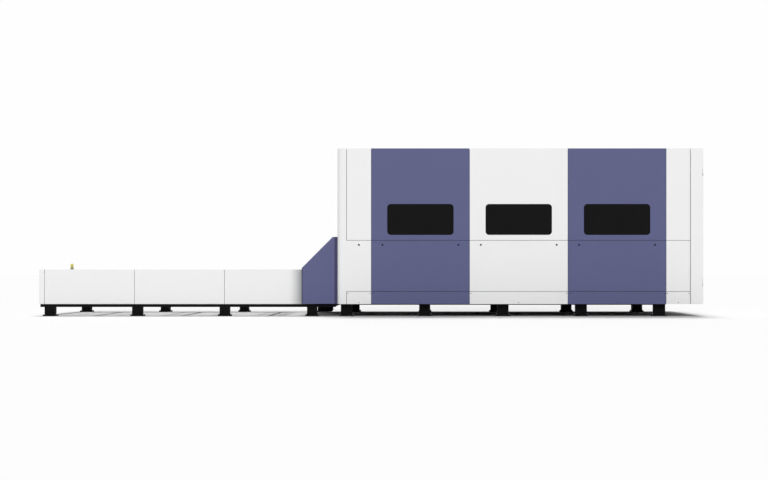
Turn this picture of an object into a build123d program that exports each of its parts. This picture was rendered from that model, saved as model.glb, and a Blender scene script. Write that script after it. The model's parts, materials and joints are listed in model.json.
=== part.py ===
from build123d import *
from math import cos, radians, sin
import os

# Fiber laser cutting machine with an exchange table, in millimetres.
# +X runs from the table to the cabin's right end, -Y is the service side with the fixed
# windows, and +Z is up. The origin is on the floor, under the middle of the machine.
# Side pieces are drawn on the -Y side, and mirrored where the +Y side has them too.

# Overall sizes
cabin_length = 4902
cabin_width = 2300
cabin_top = 2250
table_reach = 4021          # from the cabin's left end to the table's left end

# Cabin cladding
sheet = 2.5
panel_fold = 28
seam = 5                    # open joint between two panels
skirt_bottom = 165
skirt_top = 333
waist = 1018                # joint between upper and lower panels
corner_width = 126
corner_radius = 78
corner_return = 165         # depth of the corner cover along the end wall
left_strip = 331
right_strip = 323.5
bay_count = 3
end_post_width = 172
post_proud = 25             # end post in front of the panels
roof_fold = 25

# Windows
window_width = 889
window_height = 414
window_rise = 73            # window above the waist joint
window_radius = 48
window_lap = 18             # pane beyond its opening
pane = 5

# Quarter-turn locks of the lower panels
lock_inset = 150            # lock from the edge of its bay
lock_drop = 60              # lock below the waist joint
lock_radius = 12.5
lock_head = 3
shank_radius = 6
cam_reach = 28
cam_width = 14
cam_thick = 4
lip_thick = 3
lip_height = 16

# Enclosure frame
frame_wide = 60
frame_deep = 40

# Sliding doors of the operator side
door_header = 235           # panel over the doors, from the door's head to the cabin's top
leaf_thick = 25
leaf_overlap = 20           # leaf beyond the edge of its bay
leaf_travel = 620
leaf_window_width = 430
sill_height = 12
track_height = 50
tongue_thick = 8
grip_height = 160

# Lifting door at the pallet mouth
mouth_lap = 25              # mouth beyond the bed's inner faces
mouth_top = 660
blade_clear = 3             # blade from the edge of the tracks
blade_thick = 12
blade_height = 470
blade_low = 215             # lower edge of the closed door
blade_travel = 475
guide_lap = 12              # guide over the blade's edge

# Hood between cabin and table
hood_length = 480
hood_flat = 64
hood_bottom = 167
hood_eave = 649
hood_top = 1066
hood_inset = 90             # hood from the cabin's side
hood_sheet = 3
hood_flange = 28

# Right-hand cabinet
bulkhead_back = 472         # bulkhead from the cabin's right end
shelf_height = 240
end_door_thick = 17.7
end_door_inset = 20
end_door_clear = 5
hinge_inset = 9             # hinge axis from the cabin's widest face
hinge_wide = 10
hinge_pin = 3
pin_sides = 12
knuckle = 60
hinge_place = 300           # hinge from the door's upper and lower edge
hinge_count = 2
louvre_count = 4
source_side = 75            # laser source and control gear from the bed's outer face
source_front = 60           # from the bulkhead
source_deep = 340
source_wide = 600
source_top = 1050
gear_start = 150            # from the machine's middle
gear_low = 700
gear_drop = 265             # below the enclosure frame
gear_edge = 50
drive_count = 4
drive_wide = 150
drive_pitch = 180
drive_deep = 175
drive_high = 350
drive_edge = 100            # drives from the plate's upper edge
duct_deep = 85
duct_high = 90
duct_rise = 500             # above the plate's lower edge
supply_wide = 360
supply_deep = 145
supply_high = 300
supply_rise = 80
relay_gap = 60
relay_deep = 125
relay_high = 220
relay_rise = 120

# Bed and feet
bed_bottom = 152
bed_top = 830
bed_clear = 125             # bed from the cabin's side
bed_beam = 125
beam_plate = 8
cross_tube = 60
tube_wall = 5
foot_inset = 25             # feet from the bed's outer face
foot_deep = 120
plate_lip = 20
plate_thick = 20
anchor_radius = 6
cabin_foot_width = 150
cabin_foot_count = 5
cabin_foot_first = 116      # from the cabin's left end
cabin_foot_last = 561       # from the cabin's right end

# Gantry and cutting head
guide_wide = 45
guide_high = 30
guide_inset = 63            # guide's centre from the bed's outer face
rack_wide = 25
gantry_park = 1092          # beam's centre at rest, from the cabin's right end
gantry_travel = 3060
beam_wide = 280
beam_high = 230
beam_bottom = 900
beam_short = 15             # beam's end from the bed's outer face
beam_wall = 12
beam_chamfer = 45
unit_length = 460
cross_travel = 1500
rail_spread = 140
rail_wide = 24
rail_proud = 18
carriage_half = 170
carriage_thick = 30
nozzle_height = 655
head_offset = 250           # head's axis from the beam's centre
head_radius = 42
head_taper = 16             # degrees, cone above the nozzle
nozzle_radius = 9
motor_radius = 36

# Exchange table
table_top = 628
table_bottom = 163
table_inset = 125           # table's panels from the cabin's side
table_fold = 25
end_cover_return = 73
table_panel_count = 3
table_panel_end = 312       # last table panel ends this far from the cabin
rail_bottom = 122
rail_high = 80
table_foot_width = 130
table_foot_count = 4
table_foot_first = 131      # from the table's left end
table_foot_last = 350       # from the cabin's left end

# Lamp
lamp_place = 438            # from the table's left end
lamp_base = 40
lamp_base_high = 27
lamp_radius = 19
lamp_high = 53

# Pallet tracks
track_upper = 470
level_step = 180            # between the two pallet levels
track_wide = 85
track_leg = 12
track_hang = 48
track_end = 241             # from the table's left end
track_length = 3700         # inside the cabin
track_joint = 4

# Pallets
pallet_length = 3200
pallet_start = 61           # from the table's left end
pallet_travel = 4400
pallet_clear = 15           # pallet from the edge of the tracks
pallet_tube = 50
pallet_tube_high = 80
wheel_radius = 49.7
wheel_gap = 26              # wheel beside the pallet's tube
wheel_wide = 38
wheel_below = 25            # wheel's lowest point below the pallet's tubes
axle_radius = 15
slat_count = 20
slat_pitch = 156
slat_thick = 4
slat_height = 100
tooth_depth = 18
tooth_count = 6
ledge_rise = 14
ledge_wide = 30
ledge_thick = 6

# Exchange drive
chain_gap = 14              # chain's middle beside the wheels
chain_wide = 20
chain_thick = 16
chain_above = 25            # each chain run above its track
chain_left = 141            # return centre from the table's left end
chain_right = 560           # return centre from the cabin's left end
drive_back = 246            # shaft from the cabin's left end
drive_height = 205
drive_radius = 17.5
pitch_radius = 68
sprocket_radius = 58.5
sprocket_teeth = 12
sprocket_tooth = 9
link_turn = 24              # degrees between two links of a turn
dip_turn = 24               # where the chain turns down to the sprocket
shoe_heel = 20
gearbox_low = 22
gearbox_high = 265
gearbox_place = 350
gearbox_deep = 180
gearbox_length = 218
gearbox_back = 134          # left face of the gearbox from the shaft
gear_motor_radius = 68
motor_length = 240

# Clearances
running = 0.08              # radial, shaft in its bore
sliding = 0.3
lock_play = 0.5
leaf_gap = 3
door_gap = 0.3              # end door in front of its post

LOW = (Align.MIN, Align.MIN, Align.MIN)
PROFILE_PLANES = {"x": Plane.YZ, "y": Plane.ZX, "z": Plane.XY}


# Basic shapes

def block(x, y, z):
    """A plain block between three pairs of limits."""
    size = Box(x[1] - x[0], y[1] - y[0], z[1] - z[0], align=LOW)
    return Pos(x[0], y[0], z[0]) * size


def tube(along, x, y, z, wall):
    """A rectangular hollow section running along one axis, open at both ends."""
    across, up, run = {"x": (y, z, x), "y": (z, x, y), "z": (x, y, z)}[along]
    width, height = across[1] - across[0], up[1] - up[0]
    section = Rectangle(width, height) - Rectangle(width - 2 * wall, height - 2 * wall)
    placed = Pos(sum(across) / 2, sum(up) / 2, run[0]) * section
    return extrude(PROFILE_PLANES[along] * placed, run[1] - run[0])


def upright_bar(radius, x, y, z):
    """A vertical cylinder; z holds its two ends."""
    return Pos(x, y, sum(z) / 2) * Cylinder(radius, z[1] - z[0])


def cross_bar(radius, x, y, z):
    """A cylinder across the machine; y holds its two ends."""
    return Pos(x, sum(y) / 2, z) * Rot(90, 0, 0) * Cylinder(radius, y[1] - y[0])


def sided_upright(radius, sides, x, y, z):
    """An upright bar with flat sides; z holds its two ends."""
    return Pos(x, y, z[0]) * extrude(RegularPolygon(radius, sides), z[1] - z[0])


def sided_cross(radius, sides, x, y, z):
    """A bar with flat sides across the machine; y holds its two ends."""
    outline = Pos(x, z) * RegularPolygon(radius, sides)
    return Pos(0, y[1], 0) * extrude(Plane.XZ * outline, y[1] - y[0])


def side_profile(points, y):
    """An outline of X and Z points, anticlockwise from the front, filled between two Y limits."""
    return Pos(0, y[1], 0) * extrude(Plane.XZ * Polygon(*points, align=None), y[1] - y[0])


def opposite(piece):
    """The same piece on the other side of the machine."""
    return mirror(piece, about=Plane.XZ)


def both(piece):
    """A piece and its mirror image."""
    return [piece, opposite(piece)]


def about(middle, width):
    """The two limits of a width about its middle."""
    return (middle - width / 2, middle + width / 2)


def between(low, high):
    """The limits of a panel between two seams."""
    return (low + seam / 2, high - seam / 2)


def spaced(first, last, count):
    """Evenly spaced places from the first to the last."""
    return [first + (last - first) * i / (count - 1) for i in range(count)]


def arc_points(x, z, radius, first, last):
    """Places of the chain's links round a turn, from the first angle to the last."""
    steps = max(3, round(abs(last - first) / link_turn))
    turns = [radians(angle) for angle in spaced(first, last, steps + 1)]
    return [(x + radius * cos(turn), z + radius * sin(turn)) for turn in turns]


def save(name, *pieces):
    """Write one named sub-part as its own STEP file."""
    bodies = [body for piece in pieces for body in piece.solids()]
    export_step(Compound(children=bodies) if len(bodies) > 1 else bodies[0], f"parts/{name}.step")


# Places that several sub-parts share

table_left = -(table_reach + cabin_length) / 2
cabin_left = table_left + table_reach
cabin_right = cabin_left + cabin_length
panel_face = cabin_width / 2 - post_proud
near_frame = panel_face - panel_fold
far_face = panel_face - leaf_thick - leaf_gap
far_frame = far_face - panel_fold
end_face = cabin_right - end_door_thick - door_gap
post_seam = cabin_right - end_post_width
first_seam = cabin_left + corner_width + left_strip
seams = spaced(first_seam, post_seam - right_strip, bay_count + 1)
bay_middles = [(low + high) / 2 for low, high in zip(seams, seams[1:])]
door_bay = bay_count // 2
door_head = cabin_top - door_header
frame_left = cabin_left + panel_fold
frame_right = end_face - sheet
rail_z = (cabin_top - roof_fold - frame_wide, cabin_top - roof_fold)
upper_z = (waist + seam / 2, cabin_top)
lower_z = between(skirt_top, waist)
skirt_z = (skirt_bottom, skirt_top - seam / 2)
window_z = waist + window_rise + window_height / 2
lock_z = waist - lock_drop
cabin_feet_places = spaced(cabin_left + cabin_foot_first, cabin_right - cabin_foot_last, cabin_foot_count)
table_feet_places = spaced(table_left + table_foot_first, cabin_left - table_foot_last, table_foot_count)
bed_x = (cabin_feet_places[0] - cabin_foot_width / 2, cabin_feet_places[-1] + cabin_foot_width / 2)
track_lower = track_upper - level_step
beam_outer = cabin_width / 2 - bed_clear
beam_inner = beam_outer - bed_beam
foot_front = beam_outer - foot_inset
guide_line = beam_outer - guide_inset
beam_half = beam_outer - beam_short
table_face = cabin_width / 2 - table_inset
hood_face = cabin_width / 2 - hood_inset
mouth_half = beam_inner + mouth_lap
track_edge = beam_inner - track_wide
blade_half = track_edge - blade_clear
pallet_half = track_edge - pallet_clear
wheel_inner = pallet_half + wheel_gap
wheel_outer = wheel_inner + wheel_wide
chain_line = wheel_outer + chain_gap
chain_z = (track_upper + track_lower) / 2 + chain_above
chain_half = level_step / 2
drive_x = cabin_left - drive_back
slat_inset = (pallet_length - slat_pitch * (slat_count - 1)) / 2
axle_inset = slat_inset + 1.5 * slat_pitch
beam_x = cabin_right - gantry_park
beam_top = beam_bottom + beam_high


# Folded sheet cladding

def folded_panel(x, z, face=panel_face, depth=panel_fold):
    """A sheet with its four edges folded back."""
    outer = block(x, (-face, -face + depth), z)
    inner_x = (x[0] + sheet, x[1] - sheet)
    inner_z = (z[0] + sheet, z[1] - sheet)
    return outer - block(inner_x, (-face + sheet, -face + depth), inner_z)


def rounded_plate(width, height, radius, x, y, z):
    """An upright plate with rounded corners, centred at x and z; y holds its two faces."""
    outline = Pos(x, z) * RectangleRounded(width, height, radius)
    return Pos(0, y[1], 0) * extrude(Plane.XZ * outline, y[1] - y[0])


def window_cut(x, width=window_width):
    """The rounded opening in front of a window pane."""
    y = (-panel_face - sheet, -panel_face + 2 * sheet)
    return rounded_plate(width, window_height, window_radius, x, y, window_z)


def window_pane(x, width=window_width):
    """A pane against the back of its panel, larger than the opening, its corners cut off."""
    wide, high = width + 2 * window_lap, window_height + 2 * window_lap
    outline = Pos(x, window_z) * Rectangle(wide, high)
    outline = chamfer(outline.vertices(), window_lap)
    back = -panel_face + sheet + pane
    return Pos(0, back, 0) * extrude(Plane.XZ * outline, pane)


def lock_hole(x):
    """The square hole in a lower panel for the shank of a lock."""
    side = 2 * (shank_radius + lock_play)
    y = (-panel_face - sheet, -panel_face + 2 * sheet)
    return block(about(x, side), y, about(lock_z, side))


def lock_places():
    """The lock of the corner cover, then two locks in each bay."""
    places = [first_seam - left_strip / 2]
    for low, high in zip(seams, seams[1:]):
        places += [low + lock_inset, high - lock_inset]
    return places


def corner_plan(thick):
    """Plan of the rounded corner cover, an L of one thickness."""
    run = corner_width - seam / 2
    outer = Pos(run / 2, -panel_face + corner_return / 2) * Rectangle(run, corner_return)
    inner = Pos(thick, thick) * outer
    corner = outer.vertices().group_by(Axis.X)[0].sort_by(Axis.Y)[0]
    inner_corner = inner.vertices().group_by(Axis.X)[0].sort_by(Axis.Y)[0]
    band = fillet(corner, corner_radius) - fillet(inner_corner, corner_radius - thick)
    return Pos(cabin_left, 0) * band


def corner_cover(depth):
    """Rounded corner with its lower flat, which reaches to the first bay."""
    height = cabin_top - skirt_bottom
    wall = Pos(0, 0, skirt_bottom) * extrude(corner_plan(sheet), height)
    cap = Pos(0, 0, cabin_top - sheet) * extrude(corner_plan(panel_fold), sheet)
    flat_x = (cabin_left + corner_width - seam, first_seam - seam / 2)
    flat = folded_panel(flat_x, lower_z, depth=depth)
    root_x = (flat_x[0], flat_x[0] + 2 * seam)
    opened = block(root_x, (-panel_face + sheet, -panel_face + depth), lower_z)
    return wall + cap + (flat - opened)


def end_post():
    """The proud post of the right end, a channel with a closed top."""
    x = (post_seam + seam / 2, end_face)
    y = (-cabin_width / 2, -near_frame)
    z = (skirt_bottom, cabin_top)
    shell = block(x, y, z)
    shell -= block((x[0] + sheet, x[1] - sheet), (y[0] + sheet, y[1]), (z[0], z[1] - sheet))
    return shell + block((x[1] - sheet, x[1]), (y[1], y[1] + frame_deep), z)


def far_end_post():
    """The same post on the operator side, where the frame stands further in."""
    left = post_seam + seam / 2
    web = block((left, left + sheet), (far_frame, near_frame), (skirt_bottom, cabin_top))
    return opposite(end_post()) + web


def windowed_panel(i):
    """The upper panel of one bay with its window opening."""
    return folded_panel(between(seams[i], seams[i + 1]), upper_z) - window_cut(bay_middles[i])


def locked_panel(i):
    """The lower panel of one bay with the holes of its two locks."""
    panel = folded_panel(between(seams[i], seams[i + 1]), lower_z)
    return panel - lock_hole(seams[i] + lock_inset) - lock_hole(seams[i + 1] - lock_inset)


def strips(depth):
    """The narrow panels beside the bays."""
    left = between(cabin_left + corner_width, first_seam)
    right = between(seams[-1], post_seam)
    return [folded_panel(x, z, depth=depth) for x, z in ((left, upper_z), (right, upper_z), (right, lower_z))]


def save_by_colour(name, panels):
    """Write three panels that follow each other along the cabin: the middle one is white."""
    save(f"{name}_panels_blue", *panels[0::2])
    save(f"{name}_panel_white", *panels[1::2])


def build_cladding():
    far_depth = panel_face - far_frame
    near_cover = corner_cover(panel_fold) - lock_hole(lock_places()[0])
    save("corner_covers", near_cover, opposite(corner_cover(far_depth)))
    save("end_posts", end_post(), far_end_post())
    save("strip_panels", *strips(panel_fold), *[opposite(p) for p in strips(far_depth)])
    save_by_colour("upper", [windowed_panel(i) for i in range(bay_count)])
    save_by_colour("lower", [locked_panel(i) for i in range(bay_count)])
    save("window_panes", *[window_pane(x) for x in bay_middles])

    skirts = []
    for low, high in zip(seams, seams[1:]):
        x = between(low, high)
        skirts.append(folded_panel(x, skirt_z) + opposite(folded_panel(x, skirt_z, face=far_face)))
    ends = []
    for low, high in ((cabin_left + corner_width, first_seam), (seams[-1], post_seam)):
        x = between(low, high)
        ends += [folded_panel(x, skirt_z), opposite(folded_panel(x, skirt_z, depth=far_depth))]
    save("skirts_blue", *skirts[0::2])
    save("skirts_white", *skirts[1::2], *ends)


def lock():
    """A quarter-turn lock at height zero: head, shank, and cam pointing up."""
    back = -panel_face - lock_play / 2
    head = sided_cross(lock_radius, 12, 0, (-panel_face - lock_head, back), 0)
    cam_y = (-near_frame + lip_thick + lock_play, -near_frame + lip_thick + lock_play + cam_thick)
    shank = sided_cross(shank_radius, 6, 0, (back, cam_y[1]), 0)
    return head + shank + block(about(0, cam_width), cam_y, (-cam_width / 2, cam_reach))


def build_locks():
    for number, x in enumerate(lock_places(), start=1):
        save(f"lock_{number}", Pos(x, 0, lock_z) * lock())


# Enclosure frame, roof and operator side

def side_frame(y, near):
    """Posts and rails of one side; the rails stand between the posts."""
    inner_posts = [about(x, frame_wide) for x in seams + [post_seam]]
    first, last = (frame_left, frame_left + frame_wide), (frame_right - frame_wide, frame_right)
    posts = [first] + inner_posts + [last]
    foot = bed_bottom + cross_tube / 2
    pieces = [block(x, y, (foot, rail_z[0])) for x in posts]
    pieces.append(block((frame_left, frame_right), y, rail_z))
    for i, (left, right) in enumerate(zip(posts[:-2], posts[1:-1])):
        gap = (left[1], right[0])
        pieces.append(block(gap, y, about(skirt_top, frame_wide)))
        if not near and i == door_bay + 1:
            pieces.append(block(gap, y, (door_head, door_head + frame_wide)))
            continue
        rail = block(gap, y, about(waist, frame_wide))
        for x in lock_places():
            if near and gap[0] < x < gap[1]:
                rail += lock_lip(x)
        pieces.append(rail)
    return pieces


def lock_lip(x):
    """The lip under the waist rail that the cam of a lock turns behind."""
    top = waist - frame_wide / 2
    y = (-near_frame, -near_frame + lip_thick)
    return block(about(x, 2 * cam_reach), y, (top - lip_height, top))


def build_frame():
    """Square tubes of the enclosure, drawn solid because their ends are closed."""
    near_y = (-near_frame, -near_frame + frame_deep)
    far_y = (far_frame - frame_deep, far_frame)
    pieces = side_frame(near_y, True) + side_frame(far_y, False)
    inner_y = (near_y[1], far_y[0])
    end_x = (frame_left, frame_left + frame_deep)
    over_door = blade_low + blade_travel + blade_height + 10
    pieces.append(block(end_x, inner_y, (over_door, over_door + frame_wide)))
    pieces.append(block(end_x, inner_y, rail_z))
    pieces += [block(about(x, frame_wide), inner_y, rail_z) for x in seams[1:]]
    pieces.append(block((frame_right - frame_deep, frame_right), inner_y, rail_z))
    save("enclosure_frame", *pieces)


def build_roof():
    """Roof trays on the top rails; the left one has rounded corners."""
    ends = [frame_left - seam / 2 + 1] + seams[1:-1] + [frame_right]
    y = (-near_frame + 1, far_frame - 1)
    trays = []
    for i, (low, high) in enumerate(zip(ends, ends[1:])):
        x = between(low, high)
        plan = Pos(sum(x) / 2, sum(y) / 2) * Rectangle(x[1] - x[0], y[1] - y[0])
        if i == 0:
            plan = fillet(plan.vertices().group_by(Axis.X)[0], corner_radius - panel_fold)
        tray = extrude(plan, roof_fold) - extrude(offset(plan, -sheet), roof_fold - sheet)
        trays.append(Pos(0, 0, cabin_top - roof_fold) * tray)
    save("roof_panels", *trays)


def build_operator_side():
    """Fixed panels beside and over the doorway, and the door tracks."""
    panels = []
    for i, (low, high) in enumerate(zip(seams, seams[1:])):
        heights = [(door_head + seam, cabin_top)] if i == door_bay else [lower_z, upper_z]
        panels += [folded_panel(between(low, high), z, face=far_face) for z in heights]
    save("bay_panels_far", *[opposite(p) for p in panels])

    reach = leaf_travel + 2 * leaf_overlap
    x = (seams[door_bay] - reach, seams[door_bay + 1] + reach)
    y = (far_face, panel_face)
    slot_y = about(sum(y) / 2, tongue_thick + 6)
    track_z = (door_head + seam, door_head + seam + track_height)
    head = block(x, y, track_z) - block(x, slot_y, (track_z[0], track_z[1] - 20))
    sill = block(x, y, (skirt_top, skirt_top + sill_height))
    save("door_tracks", head, sill)


def door_leaf(x, grip_x):
    """A sliding leaf with a window, a tongue in the top track and a recessed grip."""
    z = (skirt_top + sill_height + sliding, door_head)
    leaf = folded_panel(x, z, depth=leaf_thick) - window_cut(sum(x) / 2, width=leaf_window_width)
    middle = -(far_face + panel_face) / 2
    tongue_top = door_head + seam + track_height - 20 - sliding
    tongue_z = (door_head - sheet, tongue_top)
    leaf += block((x[0] + 40, x[1] - 40), about(middle, tongue_thick), tongue_z)
    grip_z = (waist - 20 - grip_height, waist - 20)
    shell = block(about(grip_x, 30), (-panel_face, -panel_face + 18), grip_z)
    cup = block(about(grip_x, 26), (-panel_face, -panel_face + 16), (grip_z[0] + 2, grip_z[1] - 2))
    return opposite(leaf + shell - cup)


def build_door_leaves():
    middle = bay_middles[door_bay]
    left = (seams[door_bay] - leaf_overlap, middle - 1)
    right = (middle + 1, seams[door_bay + 1] + leaf_overlap)
    for name, x, grip_x in (("left", left, middle - 60), ("right", right, middle + 60)):
        save(f"door_leaf_{name}", door_leaf(x, grip_x))
        save(f"leaf_window_{name}", opposite(window_pane(sum(x) / 2, width=leaf_window_width)))


# Left end

def build_left_wall():
    """End wall with the pallet mouth, and the two guides of the lifting door."""
    half = panel_face - corner_return - seam / 2
    z = (skirt_bottom, cabin_top)
    wall = block((cabin_left, frame_left), (-half, half), z)
    inner_y = (-half + sheet, half - sheet)
    wall -= block((cabin_left + sheet, frame_left), inner_y, (z[0], z[1] - sheet))
    wall -= block((cabin_left, frame_left), (-mouth_half, mouth_half), (z[0], mouth_top))

    blade_x = (frame_left + 6, frame_left + 6 + blade_thick)
    raised_top = blade_low + blade_travel + blade_height
    guide_z = (mouth_top, raised_top + seam)
    guide_y = (-blade_half - 20, -blade_half + guide_lap)
    guide = block((cabin_left + sheet, blade_x[1] + 6), guide_y, guide_z)
    slot_x = (blade_x[0] - sliding, blade_x[1] + sliding)
    guide -= block(slot_x, (-blade_half - sliding, guide_y[1]), guide_z)
    save("left_wall", wall + guide + opposite(guide))

    blade_z = (blade_low + blade_travel, raised_top)
    blade = block(blade_x, (-blade_half, blade_half), blade_z)
    pocket_y = blade_half / 2 - 1.5 * seam
    for middle in spaced(-0.72 * blade_half, 0.72 * blade_half, 4):
        y = about(middle, pocket_y * 0.85)
        blade -= block((blade_x[0] + sheet, blade_x[1]), y, (blade_z[0] + 30, blade_z[1] - 30))
    save("entry_door", blade)


def build_hood():
    """Sheet hood over the pallet path, open below, at the table end and at the cabin."""
    left, top_left = cabin_left - hood_length, cabin_left - hood_flat
    outline = [(left, hood_bottom), (cabin_left, hood_bottom), (cabin_left, hood_top)]
    outline += [(top_left, hood_top), (left, hood_eave)]
    shell = side_profile(outline, (-hood_face, hood_face))
    rise, run = hood_top - hood_eave, top_left - left
    drop = hood_sheet * (rise ** 2 + run ** 2) ** 0.5 / run
    ceiling = hood_top - hood_sheet
    knee = top_left + (drop - hood_sheet) * run / rise
    inside = [(left - 1, hood_bottom - 1), (cabin_left + 1, hood_bottom - 1), (cabin_left + 1, ceiling)]
    inside += [(knee, ceiling), (left - 1, hood_eave - drop - rise / run)]
    inner_face = hood_face - hood_sheet
    hood = shell - side_profile(inside, (-inner_face, inner_face))
    flange_y = (-inner_face, -hood_face + hood_flange)
    flange = block((left, left + hood_sheet), flange_y, (hood_bottom, hood_eave - hood_sheet))
    save("hood", hood + flange + opposite(flange))


# Right-hand cabinet

def build_bulkhead():
    """Folded sheet: the wall behind the cabinet and the shelf it stands on."""
    back = cabin_right - bulkhead_back
    wall_y = (-near_frame + frame_deep + 7, far_frame - frame_deep - 4)
    wall = block((back, back + sheet), wall_y, (shelf_height, rail_z[0]))
    shelf_y = (-beam_outer + 5, beam_outer - 5)
    shelf = block((back, frame_right - 6), shelf_y, (shelf_height, shelf_height + sheet))
    save("cabinet_bulkhead", wall + shelf)


def build_end_doors():
    """Two doors laid over the cabin's right end, on lift-off hinges at the posts."""
    axis_x = cabin_right - end_door_thick / 2
    axis_y = -cabin_width / 2 + hinge_inset
    edge = -cabin_width / 2 + end_door_inset
    x = (cabin_right - end_door_thick, cabin_right)
    z = (skirt_bottom + end_door_clear, cabin_top - end_door_clear)
    places = spaced(z[0] + hinge_place, z[1] - hinge_place, hinge_count)

    door = block(x, (edge, -1), z)
    door -= block((x[0], x[1] - sheet), (edge + sheet, -1 - sheet), (z[0] + sheet, z[1] - sheet))
    louvre_y = (edge + 280, -280)
    for k in range(louvre_count):
        low = z[0] + 120 + 60 * k
        door -= block((x[1] - sheet, x[1]), louvre_y, (low, low + 18))
    for place in places:
        arm_y = (axis_y - hinge_wide / 2, edge + sheet)
        door += block(about(axis_x, hinge_wide), arm_y, about(place, knuckle))
    bore = (hinge_pin + running) / cos(radians(180 / pin_sides))
    door -= sided_upright(bore, pin_sides, axis_x, axis_y, z)
    save("cabinet_door_near", door)
    save("cabinet_door_far", opposite(door))

    hinges = []
    for place in places:
        low = (place - knuckle, place - knuckle / 2 - sliding)
        hinge = block((end_face, axis_x + hinge_wide / 2), about(axis_y, hinge_wide), low)
        hinge += sided_upright(hinge_pin, pin_sides, axis_x, axis_y, (low[0], place + knuckle / 2))
        hinges += both(hinge)
    save("cabinet_hinges", *hinges)


def build_cabinet_contents():
    """Laser source on the shelf, and drives on a plate at the bulkhead."""
    back = cabin_right - bulkhead_back
    source_x = (back + source_front, back + source_front + source_deep)
    source_y = (-beam_outer + source_side, -beam_outer + source_side + source_wide)
    floor = shelf_height + sheet
    source = block(source_x, source_y, (floor, source_top))
    source = chamfer(source.edges().filter_by(Axis.Z), 12)
    front = (source_x[1] - 4, source_x[1])
    for k in range(3):
        low = floor + 137 + 40 * k
        source -= block(front, (source_y[0] + 70, source_y[1] - 70), (low, low + 14))
    screen_y = (source_y[0] + 50, source_y[1] - 50)
    recess = block((source_x[1] - 10, source_x[1]), screen_y, (source_top - 290, source_top - 70))
    inlay_y = (screen_y[0] + 40, screen_y[1] - 40)
    inlay = block((source_x[1] - 14, source_x[1] - 2), inlay_y, (source_top - 260, source_top - 100))
    save("laser_source", source - recess + inlay)

    plate_x = (back + sheet, back + 2 * sheet)
    front = plate_x[1]
    y, z = (gear_start, beam_outer - source_side), (gear_low, rail_z[0] - gear_drop)
    gear = [block(plate_x, y, z)]
    drive_z = (z[1] - drive_edge - drive_high, z[1] - drive_edge)
    for i in range(drive_count):
        low = y[0] + gear_edge + drive_pitch * i
        gear.append(block((front, front + drive_deep), (low, low + drive_wide), drive_z))
    inner = (y[0] + gear_edge, y[1] - gear_edge)
    supply_y = (inner[0], inner[0] + supply_wide)
    relay_y = (supply_y[1] + relay_gap, inner[1])
    for across, rise, high, deep in (
        (inner, duct_rise, duct_high, duct_deep),
        (supply_y, supply_rise, supply_high, supply_deep),
        (relay_y, relay_rise, relay_high, relay_deep),
    ):
        gear.append(block((front, front + deep), across, (z[0] + rise, z[0] + rise + high)))
    save("control_gear", *gear)


# Bed, feet and guides

def row_of_feet(places, width, top, anchored=False):
    """Feet along one side, on base plates; the two end plates may have an anchor hole each."""
    y = (-foot_front, -foot_front + foot_deep)
    plate_y = (y[0] - plate_lip, y[1] + plate_lip)
    feet = []
    for x in places:
        plate_x = (x - width / 2 - plate_lip, x + width / 2 + plate_lip)
        foot = block(plate_x, plate_y, (0, plate_thick)) + block(about(x, width), y, (plate_thick, top))
        holes = {places[0]: plate_x[0] + plate_lip / 2, places[-1]: plate_x[1] - plate_lip / 2}
        if anchored and x in holes:
            foot -= upright_bar(anchor_radius, holes[x], sum(y) / 2, (0, plate_thick))
        feet.append(foot)
    return feet


def build_bed():
    """Two deep beams tied by cross members, with stubs that carry the enclosure."""
    beam_y = (-beam_outer, -beam_inner)
    pieces = both(tube("x", bed_x, beam_y, (bed_bottom, bed_top), beam_plate))
    for x in cabin_feet_places:
        span = (max(x - cross_tube, bed_x[0]), min(x + cross_tube, bed_x[1]))
        pieces.append(block(span, (-beam_inner, beam_inner), (bed_bottom, bed_bottom + cross_tube)))
    carrier_x = (bed_x[1], frame_right - 6)
    pieces += both(block(carrier_x, beam_y, (shelf_height - cross_tube, shelf_height)))
    stubs = [(bed_x[0] + 1, frame_left + frame_wide)] + [about(x, frame_wide) for x in seams + [post_seam]]
    stub_z = (shelf_height - 40, shelf_height)
    for x in stubs:
        pieces.append(block(x, (-near_frame + frame_deep, -beam_outer), stub_z))
        pieces.append(block(x, (beam_outer, far_frame - frame_deep), stub_z))
    save("bed_frame", *pieces)


def build_feet():
    cabin_row = row_of_feet(cabin_feet_places, cabin_foot_width, bed_bottom, anchored=True)
    save("cabin_feet", *cabin_row, *[opposite(f) for f in cabin_row])
    table_row = row_of_feet(table_feet_places, table_foot_width, rail_bottom)
    save("table_feet", *table_row, *[opposite(f) for f in table_row])


def build_guides():
    """Grooved guide rails on the bed's beams, each with its rack beside it."""
    half = unit_length / 2 + 60
    x = (beam_x - gantry_travel - half, beam_x + half)
    y = about(-guide_line, guide_wide)
    bar = block(x, y, (bed_top, bed_top + guide_high))
    groove_z = (bed_top + 12, bed_top + 20)
    bar -= block(x, (y[0], y[0] + 5), groove_z)
    bar -= block(x, (y[1] - 5, y[1]), groove_z)
    rack = block(x, (-beam_inner - rack_wide, -beam_inner), (bed_top, bed_top + guide_high - 5))
    save("guide_rails", *both(bar), *both(rack))


# Gantry

def cross_rail_z():
    """Heights of the two rails on the beam that the cross carriage runs on."""
    middle = beam_bottom + beam_high / 2
    return [middle - rail_spread / 2, middle + rail_spread / 2]


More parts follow.
